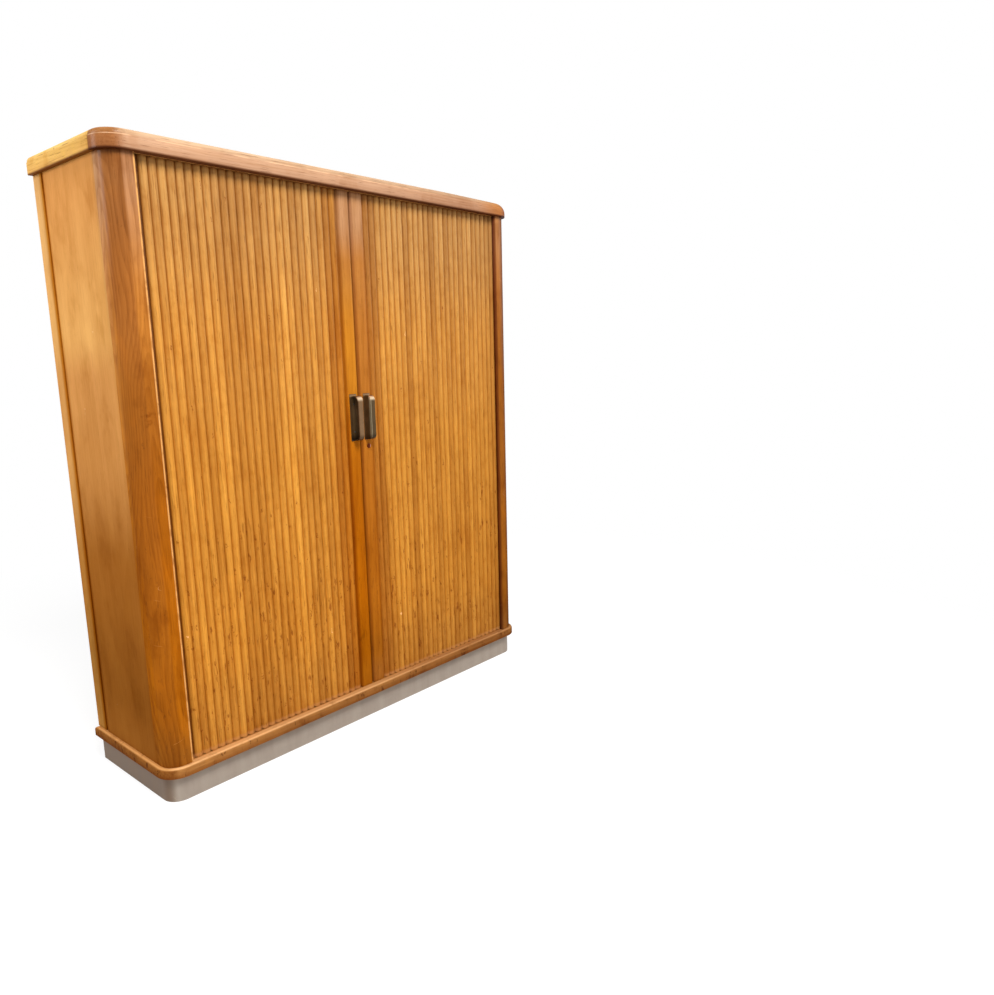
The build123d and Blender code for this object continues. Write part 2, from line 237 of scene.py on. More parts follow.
# %% Hang the lamps
def lamp(name, place, target, width, height, power):
    data = bpy.data.lights.new(name, "AREA")
    data.shape = "RECTANGLE"
    data.size, data.size_y = width, height
    data.energy = power
    made = bpy.data.objects.new(name, data)
    made.location = place
    made.rotation_euler = (Vector(target) - Vector(place)).to_track_quat("-Z", "Y").to_euler()
    scene.collection.objects.link(made)


lamp("sky_front", (-1.2, -3.2, 4.6), target=(-0.1, 0.0, 1.0), width=1.8, height=1.8, power=262.0)
lamp("sky_side", (-2.4, 0.9, 2.5), target=(-0.82, 0.0, 1.6), width=0.8, height=1.2, power=30.0)
lamp("fill_right", (4.4, -1.2, 2.4), target=(0.6, 0.0, 1.0), width=2.6, height=2.6, power=45.0)
print([light.name for light in bpy.data.lights])

# %% Lay a pale floor that keeps the shadow
floor_mesh = bpy.data.meshes.new("floor")
reach = 30.0
corners = [(-reach, -reach, 0), (reach, -reach, 0), (reach, reach, 0), (-reach, reach, 0)]
floor_mesh.from_pydata(corners, [], [(0, 1, 2, 3)])
floor = bpy.data.objects.new("floor", floor_mesh)
scene.collection.objects.link(floor)
floor_material = bpy.data.materials.new("pale_floor")
floor_material.use_nodes = True
tree = floor_material.node_tree
tree.nodes.clear()
from_cabinet = vectors(tree, "LENGTH", put(tree, "ShaderNodeTexCoord").outputs["Object"])
shadow_lies_within, white_beyond = 1.6, 3.2
near = fade(tree, from_cabinet, shadow_lies_within, white_beyond)
matte = put(tree, "ShaderNodeBsdfDiffuse", {"Color": (0.80, 0.79, 0.78, 1)})
glow = put(tree, "ShaderNodeEmission", {"Color": white, "Strength": 0.80})
thin = put(tree, "ShaderNodeBsdfDiffuse", {"Color": (0.25, 0.25, 0.25, 1)})
shaded = put(tree, "ShaderNodeAddShader", {0: glow.outputs[0], 1: thin.outputs[0]})
backdrop = put(tree, "ShaderNodeEmission", {"Color": white, "Strength": 1.0})
far_to_near = {0: near, 1: backdrop.outputs[0], 2: shaded.outputs[0]}
shown = put(tree, "ShaderNodeMixShader", far_to_near)
both = {0: seen_directly(tree), 1: matte.outputs[0], 2: shown.outputs[0]}
put(tree, "ShaderNodeOutputMaterial", {0: put(tree, "ShaderNodeMixShader", both).outputs[0]})
floor.data.materials.append(floor_material)
print("floor reaches", reach, "m each way")

# %% [markdown]
# Wood figure
#
# A board shows where it was sawn from the trunk: broad bands of early and late wood that run along
# it, finer streaks, short dark pores, and slow clouds of colour. An image of wood would repeat and
# would not turn with a round corner, so the figure is worked out from the position in the board:
# growth rings round a slanting axis, and three noises stretched along the grain. All the woods of
# the cabinet share this one node group and differ only in the values they give it.


# %% Name the sockets of a shared group
def group(name, inputs, outputs):
    """A shader group with named sockets; inputs are (name, kind, value)."""
    tree = bpy.data.node_groups.new(name, "ShaderNodeTree")
    for label, kind, value in inputs:
        socket = tree.interface.new_socket(label, in_out="INPUT", socket_type=kind)
        if value is not None:
            socket.default_value = value
    for label, kind in outputs:
        tree.interface.new_socket(label, in_out="OUTPUT", socket_type=kind)
    return tree, put(tree, "NodeGroupInput").outputs


VALUE, COLOUR, PLACE = "NodeSocketFloat", "NodeSocketColor", "NodeSocketVector"

# %% Build the wood figure as a group
wood_figure, given = group(
    "wood_figure",
    [
        ("Place", PLACE, None),
        ("Early Wood", COLOUR, (0.6, 0.3, 0.1, 1)),
        ("Late Wood", COLOUR, (0.3, 0.1, 0.03, 1)),
        ("Waviness", VALUE, 0.16),
        ("Ring Width", VALUE, 0.010),
        ("Ring Strength", VALUE, 0.4),
        ("Streak Strength", VALUE, 0.6),
        ("Pore Strength", VALUE, 0.35),
        ("Cloud Strength", VALUE, 0.6),
    ],
    [("Colour", COLOUR), ("Grain", VALUE)],
)
tree = wood_figure
place = given["Place"]
axes = split(tree, place)
wander = noise(tree, stretch(tree, place, (5.0, 5.0, 0.9)), 1.0, 2.0)
across = maths(tree, "MULTIPLY_ADD", wander, given["Waviness"], axes["X"])
pith_slant, pith_behind = 0.045, 0.05
sawn_at = maths(tree, "MULTIPLY_ADD", axes["Z"], pith_slant, pith_behind)
through = maths(tree, "ADD", sawn_at, axes["Y"])
from_pith = maths(tree, "SQRT", maths(tree, "ADD", square(tree, across), square(tree, through)))
ring = maths(tree, "FRACT", maths(tree, "DIVIDE", from_pith, given["Ring Width"]))
late = product(tree, ramp(tree, ring, 0.2, 0.85), fade(tree, ring, 0.9, 1.0))
streak = noise(tree, stretch(tree, place, (170.0, 170.0, 4.0)), 1.0, 3.0, 0.6)
cloud = noise(tree, stretch(tree, place, (7.0, 7.0, 2.4)), 1.0, 3.0, 0.55)
pores = ramp(tree, noise(tree, stretch(tree, place, (520.0, 520.0, 16.0)), 1.0, 2.0), 0.60, 0.70)
mean_late, mean_noise, mean_share = 0.35, 0.5, 0.4
share = product(tree, maths(tree, "SUBTRACT", late, mean_late), given["Ring Strength"])
for pattern, strength in ((streak, "Streak Strength"), (cloud, "Cloud Strength")):
    swing = maths(tree, "SUBTRACT", pattern, mean_noise)
    share = maths(tree, "MULTIPLY_ADD", swing, given[strength], share)
share = maths(tree, "ADD", share, mean_share, clamp=True)
wood = blend(tree, share, given["Early Wood"], given["Late Wood"])
pore_colour = blend(tree, 1.0, given["Late Wood"], (0.35, 0.28, 0.25, 1), "MULTIPLY")
wood = blend(tree, product(tree, pores, given["Pore Strength"]), wood, pore_colour)
grain = maths(tree, "MULTIPLY_ADD", streak, 0.5, product(tree, pores, -0.5))
put(tree, "NodeGroupOutput", {"Colour": wood, "Grain": grain})
print("wood_figure has", len(tree.nodes), "nodes")

# %% [markdown]
# Stains and dings
#
# Decades of use leave dark drips and specks low down, where feet, mops and crates reach, and a few
# pale dings where the varnish is chipped. Cells give separate specks, torn by a noise so that none
# is round, and a stretched noise gives drips. Both are let through by a limit that falls towards
# the floor, so that they crowd there.

# %% Build the stains as a group
stains, given = group(
    "stains",
    [
        ("Place", PLACE, None),
        ("Height", VALUE, 0.0),
        ("Crowded Below", VALUE, 0.3),
        ("Rare Above", VALUE, 1.3),
        ("Amount", VALUE, 1.0),
        ("Dings", VALUE, 0.003),
    ],
    [("Dark", VALUE), ("Pale", VALUE)],
)
tree = stains
place = given["Place"]
low = fade(tree, given["Height"], given["Crowded Below"], given["Rare Above"])
drip = noise(tree, stretch(tree, place, (70.0, 70.0, 17.0)), 1.0, 4.0, 0.62)
limit = ramp(tree, low, 0.0, 1.0, 0.72, 0.60)
drip = ramp(tree, maths(tree, "SUBTRACT", drip, limit), 0.0, 0.07)
ragged = {"Vector": place, "Scale": 120.0, "Detail": 3.0}
ragged = put(tree, "ShaderNodeTexNoise", ragged).outputs["Color"]
ragged = vectors(tree, "SUBTRACT", ragged, (0.5, 0.5, 0.5))
torn = vectors(tree, "MULTIPLY_ADD", ragged, (0.016, 0.016, 0.05), place)
upright_cells = {"Vector": stretch(tree, torn, (78.0, 78.0, 26.0)), "Scale": 1.0}
cells = put(tree, "ShaderNodeTexVoronoi", upright_cells).outputs
chosen = put(tree, "ShaderNodeSeparateColor", {0: cells["Color"]}).outputs
spot = fade(tree, cells["Distance"], 0.12, 0.30)
dark_cell = maths(tree, "GREATER_THAN", chosen[0], ramp(tree, low, 0.0, 1.0, 0.975, 0.77))
pale_cell = maths(tree, "GREATER_THAN", chosen[1], maths(tree, "SUBTRACT", 1.0, given["Dings"]))
speck = product(tree, spot, dark_cell)
dark = maths(tree, "MULTIPLY", maths(tree, "MAXIMUM", speck, drip), given["Amount"], clamp=True)
put(tree, "NodeGroupOutput", {"Dark": dark, "Pale": product(tree, spot, pale_cell)})
print("stains has", len(tree.nodes), "nodes")

# %% [markdown]
# Worn edges
#
# Hands and trolleys rub varnish off the rounded edges first, and the wood shows paler there. On
# boards that lie square to the axes, a rounded edge is exactly where the surface faces between two
# axes, so the mask needs no edge finder: it is how far the largest part of the normal falls short
# of one. A noise breaks it up, because wear is never even.


# %% Build the worn edges as a group
def largest_part(tree, facing):
    """How nearly a surface faces along one of the axes: 1 on a flat board, less on its rounds."""
    part = split(tree, vectors(tree, "ABSOLUTE", facing))
    return maths(tree, "MAXIMUM", maths(tree, "MAXIMUM", part["X"], part["Y"]), part["Z"])


worn_edges, given = group(
    "worn_edges",
    [("Place", PLACE, None), ("Facing", PLACE, None), ("Evenness", VALUE, 0.5)],
    [("Wear", VALUE)],
)
tree = worn_edges
round_edge = fade(tree, largest_part(tree, given["Facing"]), 0.72, 0.93)
patchy = noise(tree, given["Place"], 22.0, 4.0, 0.65)
limit = maths(tree, "MULTIPLY_ADD", given["Evenness"], -0.35, 0.60)
rubbed = ramp(tree, maths(tree, "SUBTRACT", patchy, limit), 0.0, 0.12)
wear = maths(tree, "MULTIPLY", round_edge, rubbed, clamp=True)
put(tree, "NodeGroupOutput", {"Wear": wear})
print("worn_edges has", len(tree.nodes), "nodes")

# %% [markdown]
# A surface that is being painted
#
# Beyond grain and stains, each piece has marks of its own: soot under the top, a rubbed edge, a
# bleached end. All of them are laid on the same way, as a tint or a colour where some mask is 1. So
# one small class holds what such a step needs: the colour so far, and where each point lies.


# %% Define a surface that marks are laid on
class Surface:
    """A finish in the making: its tree, its colour so far, and the place of each point."""

    def __init__(self, tree, shade, where):
        self.tree = tree
        self.shade = shade
        self.place = where["Object"]
        self.facing = where["Normal"]
        self.x, self.y, self.z = split(tree, self.place)

    @property
    def aside(self):
        """The distance from the cabinet's middle, to the left or to the right."""
        return maths(self.tree, "ABSOLUTE", self.x)

    def rise(self, value, low, high, to_low=0.0, to_high=1.0):
        return ramp(self.tree, value, low, high, to_low, to_high)

    def fade(self, value, low, high, start=1.0):
        return fade(self.tree, value, low, high, start)

    def off(self, value, middle):
        return maths(self.tree, "ABSOLUTE", maths(self.tree, "SUBTRACT", value, middle))

    def both(self, *shares):
        return product(self.tree, *shares)

    def patches(self, size, detail=2.0, roughness=0.5):
        return noise(self.tree, self.place, size, detail, roughness)

    def heights(self, *stops):
        return by_height(self.tree, self.z, stops)

    def cover(self, paint, share):
        """Lays a colour over the surface where share is 1."""
        self.shade = blend(self.tree, share, self.shade, paint)

    def tint(self, tint, share=None):
        """Multiplies the colour by a tint, everywhere or where share is 1."""
        tint = tint if isinstance(tint, bpy.types.NodeSocket) else (*tint, 1)
        whole = blend(self.tree, 1.0, self.shade, tint, "MULTIPLY")
        self.shade = whole if share is None else blend(self.tree, share, self.shade, whole)

    def mottle(self, size, dark, light, place=None):
        """Large soft patches, where sun and polish have changed the varnish."""
        flattened = stretch(self.tree, place or self.place, (1.0, 1.0, 0.6))
        patch = noise(self.tree, flattened, size, 4.0, 0.62)
        self.tint(dark, self.fade(patch, 0.30, 0.50))
        self.tint(light, self.rise(patch, 0.50, 0.72))

    def scratch(self, pale):
        """A few scratches: the lines on which a slow noise passes through its middle value."""
        path = noise(self.tree, stretch(self.tree, self.place, (9.0, 9.0, 20.0)), 1.0, 0.0)
        line = self.fade(self.off(path, 0.5), 0.002, 0.007, 0.4)
        some = self.rise(self.patches(13.0, 1.0), 0.63, 0.68)
        self.cover(pale, self.both(line, some))


# %% [markdown]
# Varnished woods
#
# One varnish covers all the outside wood, so one function lays the three groups on top of each
# other and gives them to a satin shader. What differs from piece to piece is the timber's colour,
# the way the grain runs, how strongly it is marked, and how the colour changes from the paler
# upper part down to the darker, warmer lower part: partly bleaching, partly painted light and sheen.


# %% Start a material, and place a shared group in it
finishes = {}


def new_finish(name):
    made = bpy.data.materials.new(name)
    made.use_nodes = True
    made.node_tree.nodes.clear()
    finishes[name] = made
    return made.node_tree, put(made.node_tree, "ShaderNodeTexCoord").outputs


def place_group(tree, shared, inputs):
    """Puts a shared group in a material and fills its named inputs."""
    node = put(tree, "ShaderNodeGroup", node_tree=shared)
    for name, value in inputs.items():
        fill(tree, node.inputs[name], value)
    return node.outputs


# %% Define a varnished wood
UPRIGHT = (0, 0, 0)
ALONG_FRONT = (0, math.radians(90), 0)
ALONG_SIDE = (math.radians(90), 0, 0)


def varnished(name, early, late, runs=UPRIGHT, figure=None, faded=((0.0, (1, 1, 1)),), stain=0.5,
              stain_colour=(0.08, 0.02, 0.005, 1), dings=0.003, worn=0.4,
              worn_colour=(0.8, 0.5, 0.25, 1), gloss=0.36, coat=0.16, shift=None, marked=None):
    """A satin-varnished wood; shift moves the figure, so that neighbouring boards differ, and marked
    adds what only this piece has."""
    tree, where = new_finish(name)
    surface = Surface(tree, None, where)
    own = surface.place if shift is None else shift(tree, surface.place)
    turned = put(tree, "ShaderNodeMapping", {"Vector": own, "Rotation": runs}).outputs[0]
    look = {"Place": turned, "Early Wood": early, "Late Wood": late, **(figure or {})}
    wood = place_group(tree, wood_figure, look)
    surface.shade = wood["Colour"]
    # Tints by height: partly bleaching, partly painted light and sheen.
    surface.tint(surface.heights(*faded))
    used = {"Place": own, "Height": surface.z, "Amount": stain, "Dings": dings}
    marks = place_group(tree, stains, used)
    surface.cover(stain_colour, marks["Dark"])
    surface.cover(worn_colour, marks["Pale"])
    rough = maths(tree, "MULTIPLY_ADD", wood["Grain"], 0.12, gloss)
    varnish = ramp(tree, surface.z, 0.4, 1.6, 0.2 * coat, coat)
    varnish = maths(tree, "MULTIPLY_ADD", wood["Grain"], -0.06, varnish)
    if worn > 0:
        edges = {"Place": surface.place, "Facing": surface.facing, "Evenness": worn}
        rubbed = place_group(tree, worn_edges, edges)["Wear"]
        surface.cover(worn_colour, rubbed)
        rough = maths(tree, "MULTIPLY_ADD", rubbed, 0.2, rough)
        varnish = maths(tree, "MULTIPLY_ADD", rubbed, -0.6 * coat, varnish, clamp=True)
    if marked is not None:
        marked(surface)
    bump = put(tree, "ShaderNodeBump", {"Strength": 0.25, "Distance": 0.0006, "Height": wood["Grain"]})
    satin = {
        "Base Color": surface.shade, "Roughness": rough, "Normal": bump.outputs[0],
        "Specular IOR Level": 0.0, "Coat Weight": varnish, "Coat Roughness": 0.22,
    }
    shader = put(tree, "ShaderNodeBsdfPrincipled", satin)
    put(tree, "ShaderNodeOutputMaterial", {0: shader.outputs[0]})


# %% [markdown]
# The corner posts
#
# Both posts were stained red-brown. A painted sheen pales their upper half, hands have rubbed the
# left one's edge beside the curtain, and painted shade darkens the right one where its inner side
# shows. A noise alone would put such marks anywhere, so each has a mask worked out from the place
# on the cabinet.


# %% Mark the corner posts
def painted_shadow_under_top(wood):
    """Painted shadow: the overhang of the top keeps light from the last few centimetres below it."""
    under_top = wood.rise(wood.z, 1.884, 1.898, 0.0, 0.80)
    wood.tint((0.42, 0.27, 0.16), under_top)


def paint_post_sheen(wood):
    """Painted sheen and shade by height, on the flat front and on the round towards the side."""
    flat = wood.rise(largest_part(wood.tree, wood.facing), 0.955, 0.995)
    less_on_the_right = wood.rise(wood.x, -0.1, 0.1, 1.0, 0.5)
    painted_sheen = wood.heights(
        (0.12, (1.25, 1.35, 1.5)), (0.3, (1.15, 1.15, 0.8)), (0.6, (1.06, 1.0, 0.55)),
        (0.95, (0.98, 0.94, 0.60)), (1.15, (1.12, 1.12, 1.0)), (1.45, (1.38, 1.50, 1.35)),
        (1.80, (1.52, 1.95, 3.4)),
    )
    wood.tint(painted_sheen, wood.both(flat, less_on_the_right))
    towards_panel = wood.heights(
        (0.3, (0.90, 0.86, 0.80)), (0.7, (1.05, 1.12, 1.1)), (1.15, (1.40, 1.62, 2.1)),
        (1.45, (1.12, 1.24, 1.8)), (1.85, (1.20, 1.32, 1.3)),
    )
    # The round towards the side gets its own painted sheen and shade by height.
    round_corner = wood.rise(wood.y, -0.184, -0.158)
    wood.tint(towards_panel, round_corner)


def knot_in_post(wood):
    """One dark knot on the left post's outer side, with a ragged outline."""
    flattened = stretch(wood.tree, wood.place, (1.0, 0.3, 0.7))
    from_knot = vectors(wood.tree, "DISTANCE", flattened, (-0.772, -0.07, 0.833))
    swirl = maths(wood.tree, "MULTIPLY_ADD", wood.patches(70.0, 3.0), 0.06, from_knot)
    knot = wood.fade(swirl, 0.026, 0.050, 0.9)
    wood.tint((0.62, 0.48, 0.36), knot)


def mark_post(wood):
    """The left post's rubbed edge beside the curtain, and painted shade on the posts' inner sides."""
    is_left = wood.fade(wood.x, -0.1, 0.1)
    is_right = maths(wood.tree, "SUBTRACT", 1.0, is_left)
    wood.mottle(12.0, (0.80, 0.73, 0.64), (1.14, 1.12, 1.0))
    # Painted sheen, paler and bluer towards the top of the post.
    paint_post_sheen(wood)
    knot_in_post(wood)
    wood.scratch(colour(218, 152, 86))
    inner_edge = wood.both(wood.fade(wood.aside, 0.7450, 0.7480), wood.fade(wood.y, -0.2315, -0.2285))
    patchy = wood.rise(wood.patches(30.0, 3.0), 0.35, 0.55, 0.35, 0.75)
    wood.cover(colour(236, 174, 102), wood.both(inner_edge, patchy, is_left))
    # Painted shade on the inner side of each post, which faces the curtain.
    shaded_inner_side = wood.both(wood.fade(wood.aside, 0.7395, 0.7410), wood.rise(wood.y, -0.2275, -0.2255))
    wood.tint((0.64, 0.52, 0.55), shaded_inner_side)
    # Painted shade on the right post beside its curtain.
    shade_by_the_curtain = wood.fade(wood.aside, 0.7390, 0.7520)
    wood.tint((0.43, 0.33, 0.44), wood.both(shade_by_the_curtain, is_right))
    outer_half = wood.rise(wood.aside, 0.757, 0.790)
    wood.tint((0.70, 0.68, 0.90), wood.both(outer_half, is_right))
    right_hand = wood.heights(
        (0.9, (0.92, 1.02, 1.7)), (1.25, (0.98, 0.98, 0.9)), (1.45, (0.84, 0.79, 0.70)),
        (1.65, (1.0, 0.94, 0.78)), (1.85, (1.28, 1.28, 1.1)),
    )
    wood.tint(right_hand, is_right)
    # Painted shadow under the top's overhang.
    painted_shadow_under_top(wood)


# %% [markdown]
# The sides
#
# Each side is a plain yellow-brown panel. A groove parts it from the rear post, which was cut from a
# lighter board; dirt and painted shade darken the groove and its sides, and painted shade lies beside
# the corner post.


# %% Mark the sides
groove_back = 0.198
groove_shade_middle = 0.196


def mark_side(wood):
    """Dirt and painted shade in the groove before the rear post, and painted shade beside the corner
    post.
    """
    wood.mottle(10.0, (0.88, 0.83, 0.74), (1.07, 1.10, 1.12))
    # Painted shade on the panel beside the corner post.
    shade_beside_post = wood.fade(wood.y, -0.156, -0.138)
    wood.tint(wood.heights((1.2, (0.95, 0.9, 0.8)), (1.6, (0.88, 0.9, 1.0))), shade_beside_post)
    paler_board = wood.heights(
        (0.3, (1.35, 1.75, 2.6)), (0.7, (1.25, 1.48, 1.9)), (1.0, (1.15, 1.30, 1.5)),
        (1.5, (0.99, 1.04, 1.15)), (1.85, (1.06, 1.30, 1.7)),
    )
    rear_post = wood.rise(wood.y, groove_back, groove_back + 0.002)
    wood.tint(paler_board, rear_post)
    # Dirt and painted shade in and beside the groove.
    groove_dirt_and_shade = wood.fade(wood.off(wood.y, groove_shade_middle), 0.004, 0.027)
    wood.tint((0.65, 0.44, 0.09), groove_dirt_and_shade)


# %% [markdown]
# The top's edgings
#
# The front edging is pinker than the side edgings: it is probably another wood, one that bends well.
# It is darker where it was bent round the corners, a painted highlight runs along its small step,
# and a painted sheen pales its crown.


# %% Mark the top's edgings
edging_step = 1.9325


def shade_edging_foot(wood):
    """Painted shade on the lower edge of the top's edging."""
    lower_edge = wood.fade(wood.z, 1.8965, 1.9040, 0.95)
    wood.tint((0.24, 0.13, 0.06), lower_edge)


def mark_top(wood):
    """The front edging: darker where bent round the corners, painted highlight at the step, sheen above.
    """
    wood.mottle(9.0, (0.90, 0.84, 0.78), (1.05, 1.05, 1.05))
    bent = wood.rise(wood.aside, 0.760, 0.800)
    wood.tint((0.60, 0.40, 0.22), bent)
    # Painted sheen: the crown is made paler and bluer than the fascia below it.
    fascia_to_crown = wood.heights(
        (1.900, (0.86, 0.84, 0.83)), (1.930, (1.06, 1.08, 1.08)),
        (1.934, (0.92, 0.95, 0.94)), (1.940, (1.10, 1.28, 1.32)),
    )
    wood.tint(fascia_to_crown)
    # Painted highlight along the small step, in patches and not at the right end.
    lit_step = wood.fade(wood.off(wood.z, edging_step), 0.0008, 0.0022)
    kept_patches = wood.rise(wood.patches(14.0, 3.0), 0.42, 0.58, 0.0, 0.5)
    kept_highlight = wood.both(kept_patches, wood.fade(wood.x, 0.30, 0.50))
    wood.cover(colour(238, 196, 156), wood.both(lit_step, kept_highlight))
    right_half, right_end = wood.rise(wood.x, -0.2, 0.60), wood.rise(wood.x, 0.60, 0.76)
    wood.tint((0.85, 0.78, 0.74), right_half)
    wood.tint((0.99, 0.73, 0.38), right_end)
    # Painted shade under the edging.
    shade_edging_foot(wood)


def mark_top_side(wood):
    """Bleached yellow, with a painted sheen towards the crown, and dark at the joint with the front
    edging.
    """
    wood.mottle(14.0, (0.88, 0.80, 0.64), (1.06, 1.08, 0.95))
    # Painted sheen: paler and bluer, most at the crown.
    foot_to_crown = wood.heights(
        (1.905, (0.98, 1.04, 1.35)), (1.925, (1.0, 1.10, 1.40)), (1.940, (1.04, 1.26, 1.9))
    )
    wood.tint(foot_to_crown)
    joint = wood.fade(wood.y, -0.1720, -0.1660, 0.8)
    wood.tint((0.35, 0.26, 0.20), joint)
    # Painted shade under the edging.
    shade_edging_foot(wood)


# %% [markdown]
# The base's edging and the meeting stiles
#
# The base stands out as a ledge; its upper side is rubbed pale by what was set down on it, and a
# painted highlight lies where it faces up. The two meeting stiles were cut from different boards,
# and have aged differently.


# %% Mark the base's edging and the stiles
# The narrow band in which a mark changes from the left door to the right one.
MIDDLE = (-0.001, 0.001)


def mark_base(wood):
    """The ledge's upper side is rubbed pale by what was set down on it, and painted with a highlight."""
    up = split(wood.tree, wood.facing)["Z"]
    wood.mottle(16.0, (0.70, 0.58, 0.46), (1.16, 1.16, 1.08))
    worn = wood.rise(wood.patches(26.0, 4.0, 0.65), 0.28, 0.48, 0.45, 0.95)
    worn = wood.both(worn, wood.rise(wood.x, -0.2, 0.4, 1.0, 0.6))
    # Where the rounded edge faces up it is both rubbed pale and painted with a highlight.
    lit_upper_side, level_part = wood.rise(up, 0.50, 0.92), wood.rise(up, 0.96, 1.0)
    wood.cover(colour(214, 162, 108), wood.both(lit_upper_side, worn))
    from_front, from_end = wood.rise(wood.y, -0.240, -0.226), wood.rise(wood.aside, 0.826, 0.812)
    from_edge = maths(wood.tree, "MAXIMUM", from_front, from_end)
    wood.tint((0.72, 0.64, 0.54), wood.both(level_part, from_edge, 0.7))
    bent_ends, lower_edge = wood.rise(wood.aside, 0.79, 0.825), wood.fade(wood.z, 0.090, 0.106)
    wood.tint((0.78, 0.68, 0.52), bent_ends)
    wood.tint((0.76, 0.63, 0.50), lower_edge)
    left_end, right_half = wood.rise(wood.x, -0.3, -0.6), wood.rise(wood.x, -0.1, 0.4)
    wood.tint((1.16, 1.18, 1.2), left_end)
    wood.tint((0.84, 0.78, 0.74), right_half)


def mark_stile(wood):
    """Left stile bleached more orange, redder low down; painted shade where the stiles meet and by the
    slats.
    """
    wood.mottle(7.0, (0.90, 0.86, 0.76), (1.07, 1.06, 1.0))
    orange = wood.heights((0.9, (0.98, 0.86, 0.26)), (1.35, (1.24, 1.30, 0.68)), (1.75, (1, 1, 1)))
    left_stile = wood.fade(wood.x, *MIDDLE)
    wood.tint(orange, left_stile)
    # Painted shade in the gap where the stiles meet, lighter on the left stile.
    shade_where_they_meet, less_on_the_left = wood.rise(wood.aside, 0.0135, 0.0045), (0.25, 1.0)
    inner_edge = wood.both(shade_where_they_meet, wood.rise(wood.x, *MIDDLE, *less_on_the_left))
    wood.tint((0.70, 0.62, 0.58), inner_edge)
    # Painted shade beside the slats, lighter on the right stile.
    shade_by_the_slats, less_on_the_right = wood.rise(wood.aside, 0.0440, 0.0550), (1.0, 0.3)
    outer_edge = wood.both(shade_by_the_slats, wood.rise(wood.x, *MIDDLE, *less_on_the_right))
    wood.tint((0.62, 0.50, 0.34), outer_edge)
    # Painted shadow under the top's overhang.
    painted_shadow_under_top(wood)


# %% [markdown]
# Mixing the woods
#
# The posts, the stiles and the base's edging were stained redder than the sides and the slats. The
# colours are set against the picture, and so are the tints that change them with the height.
# Woods that nobody looks at closely, inside and behind, need no marks of their own.

# %% Mix the woods of the outside
varnished(
    "post", colour(172, 102, 46), colour(122, 62, 20),
    figure={"Ring Width": 0.013, "Waviness": 0.34, "Ring Strength": 0.24, "Cloud Strength": 0.9},
    faded=((0.14, (0.70, 0.69, 0.34)), (0.3, (0.96, 0.90, 0.28)), (0.9, (0.94, 0.88, 0.36)),
           (1.2, (0.84, 0.83, 0.44)), (1.5, (0.96, 1.02, 0.88)), (1.85, (0.78, 0.92, 1.20))),
    stain=0.3, dings=0.0, worn=0.0, coat=0.14, marked=mark_post,
)
# The side's tints by height are partly painted light: a pale band near 1.4 m and a darker lower part.
varnished(
    "side_panel", colour(216, 150, 88), colour(170, 104, 43),
    figure={"Ring Width": 0.03, "Ring Strength": 0.12, "Streak Strength": 0.4, "Pore Strength": 0.15},
    faded=((0.14, (0.52, 0.43, 0.22)), (0.3, (0.45, 0.36, 0.165)), (0.72, (0.61, 0.51, 0.27)),
           (1.05, (0.96, 0.99, 0.88)), (1.28, (1.0, 1.06, 1.0)), (1.42, (1.16, 1.38, 1.36)),
           (1.85, (1.0, 1.06, 1.0))),
    stain=0.1, coat=0.05, marked=mark_side,
)
varnished(
    "stile", colour(180, 110, 50), colour(142, 76, 24),
    figure={"Ring Width": 0.02, "Ring Strength": 0.2, "Cloud Strength": 1.2},
    faded=((0.14, (0.90, 0.96, 0.70)), (0.25, (0.80, 0.76, 0.26)), (0.5, (1.06, 1.0, 0.34)),
           (1.0, (1.02, 1.0, 0.48)), (1.4, (1.06, 1.14, 0.88)), (1.65, (1.0, 1.16, 1.25)),
           (1.8, (1.1, 1.68, 4.0))),
    stain=0.3, dings=0.001, worn=0.0, worn_colour=colour(220, 158, 100), coat=0.12, marked=mark_stile,
)
print("mixed", ", ".join(finishes))

# %% Mix the woods of the top and base, the inside and the back
edging = {"Ring Strength": 0.15, "Waviness": 0.05, "Streak Strength": 0.9}
varnished(
    "top_front_edging", colour(196, 156, 126), colour(160, 112, 75), ALONG_FRONT,
    figure={**edging, "Ring Strength": 0.12, "Pore Strength": 0.6}, stain=0.3, dings=0.0, worn=0.0,
    marked=mark_top,
)
varnished(
    "top_side_edging", colour(226, 174, 86), colour(184, 124, 44), ALONG_SIDE,
    figure={**edging, "Pore Strength": 0.6}, stain=0.6, worn=0.0, marked=mark_top_side,
)
varnished(
    "base_edging", colour(160, 108, 56), colour(116, 70, 32), ALONG_FRONT, figure=edging, stain=0.8,
    worn=0.0, marked=mark_base,
)
varnished("top_board", colour(205, 146, 80), colour(166, 104, 48), ALONG_FRONT)
varnished("base_board", colour(190, 128, 66), colour(150, 92, 40), ALONG_FRONT)
varnished("inner_wood", colour(214, 170, 112), colour(180, 132, 76), stain=0.1)
bare = {"gloss": 0.7, "coat": 0.0}
varnished("raw_wood", colour(176, 140, 94), colour(140, 104, 64), stain=0.1, **bare)
varnished("back_ply", colour(190, 158, 112), colour(150, 114, 72), stain=0.3, **bare)
print("mixed", ", ".join(finishes))

# %% [markdown]
# The slats' wood
#
# The slats were cut from many boards, so no two neighbours match: each slat carries its own random
# tone, and its figure starts somewhere else. The three slats next to each stile were stained with
# it. Both facts reach the material as attributes that the slats' own tree writes.


# %% Mix the slats' wood
def written(tree, name):
    """A value that a shape tree has written on its mesh."""
    return put(tree, "ShaderNodeAttribute", attribute_name=name).outputs["Fac"]


def slat_shift(tree, place):
    """Moves the figure far away along a slant, by another distance for each slat."""
    own = written(tree, "slat_tone")
    jump = {axis: product(tree, own, metres) for axis, metres in enumerate((7.3, 3.9, 11.7))}
    return vectors(tree, "ADD", place, put(tree, "ShaderNodeCombineXYZ", jump).outputs[0])


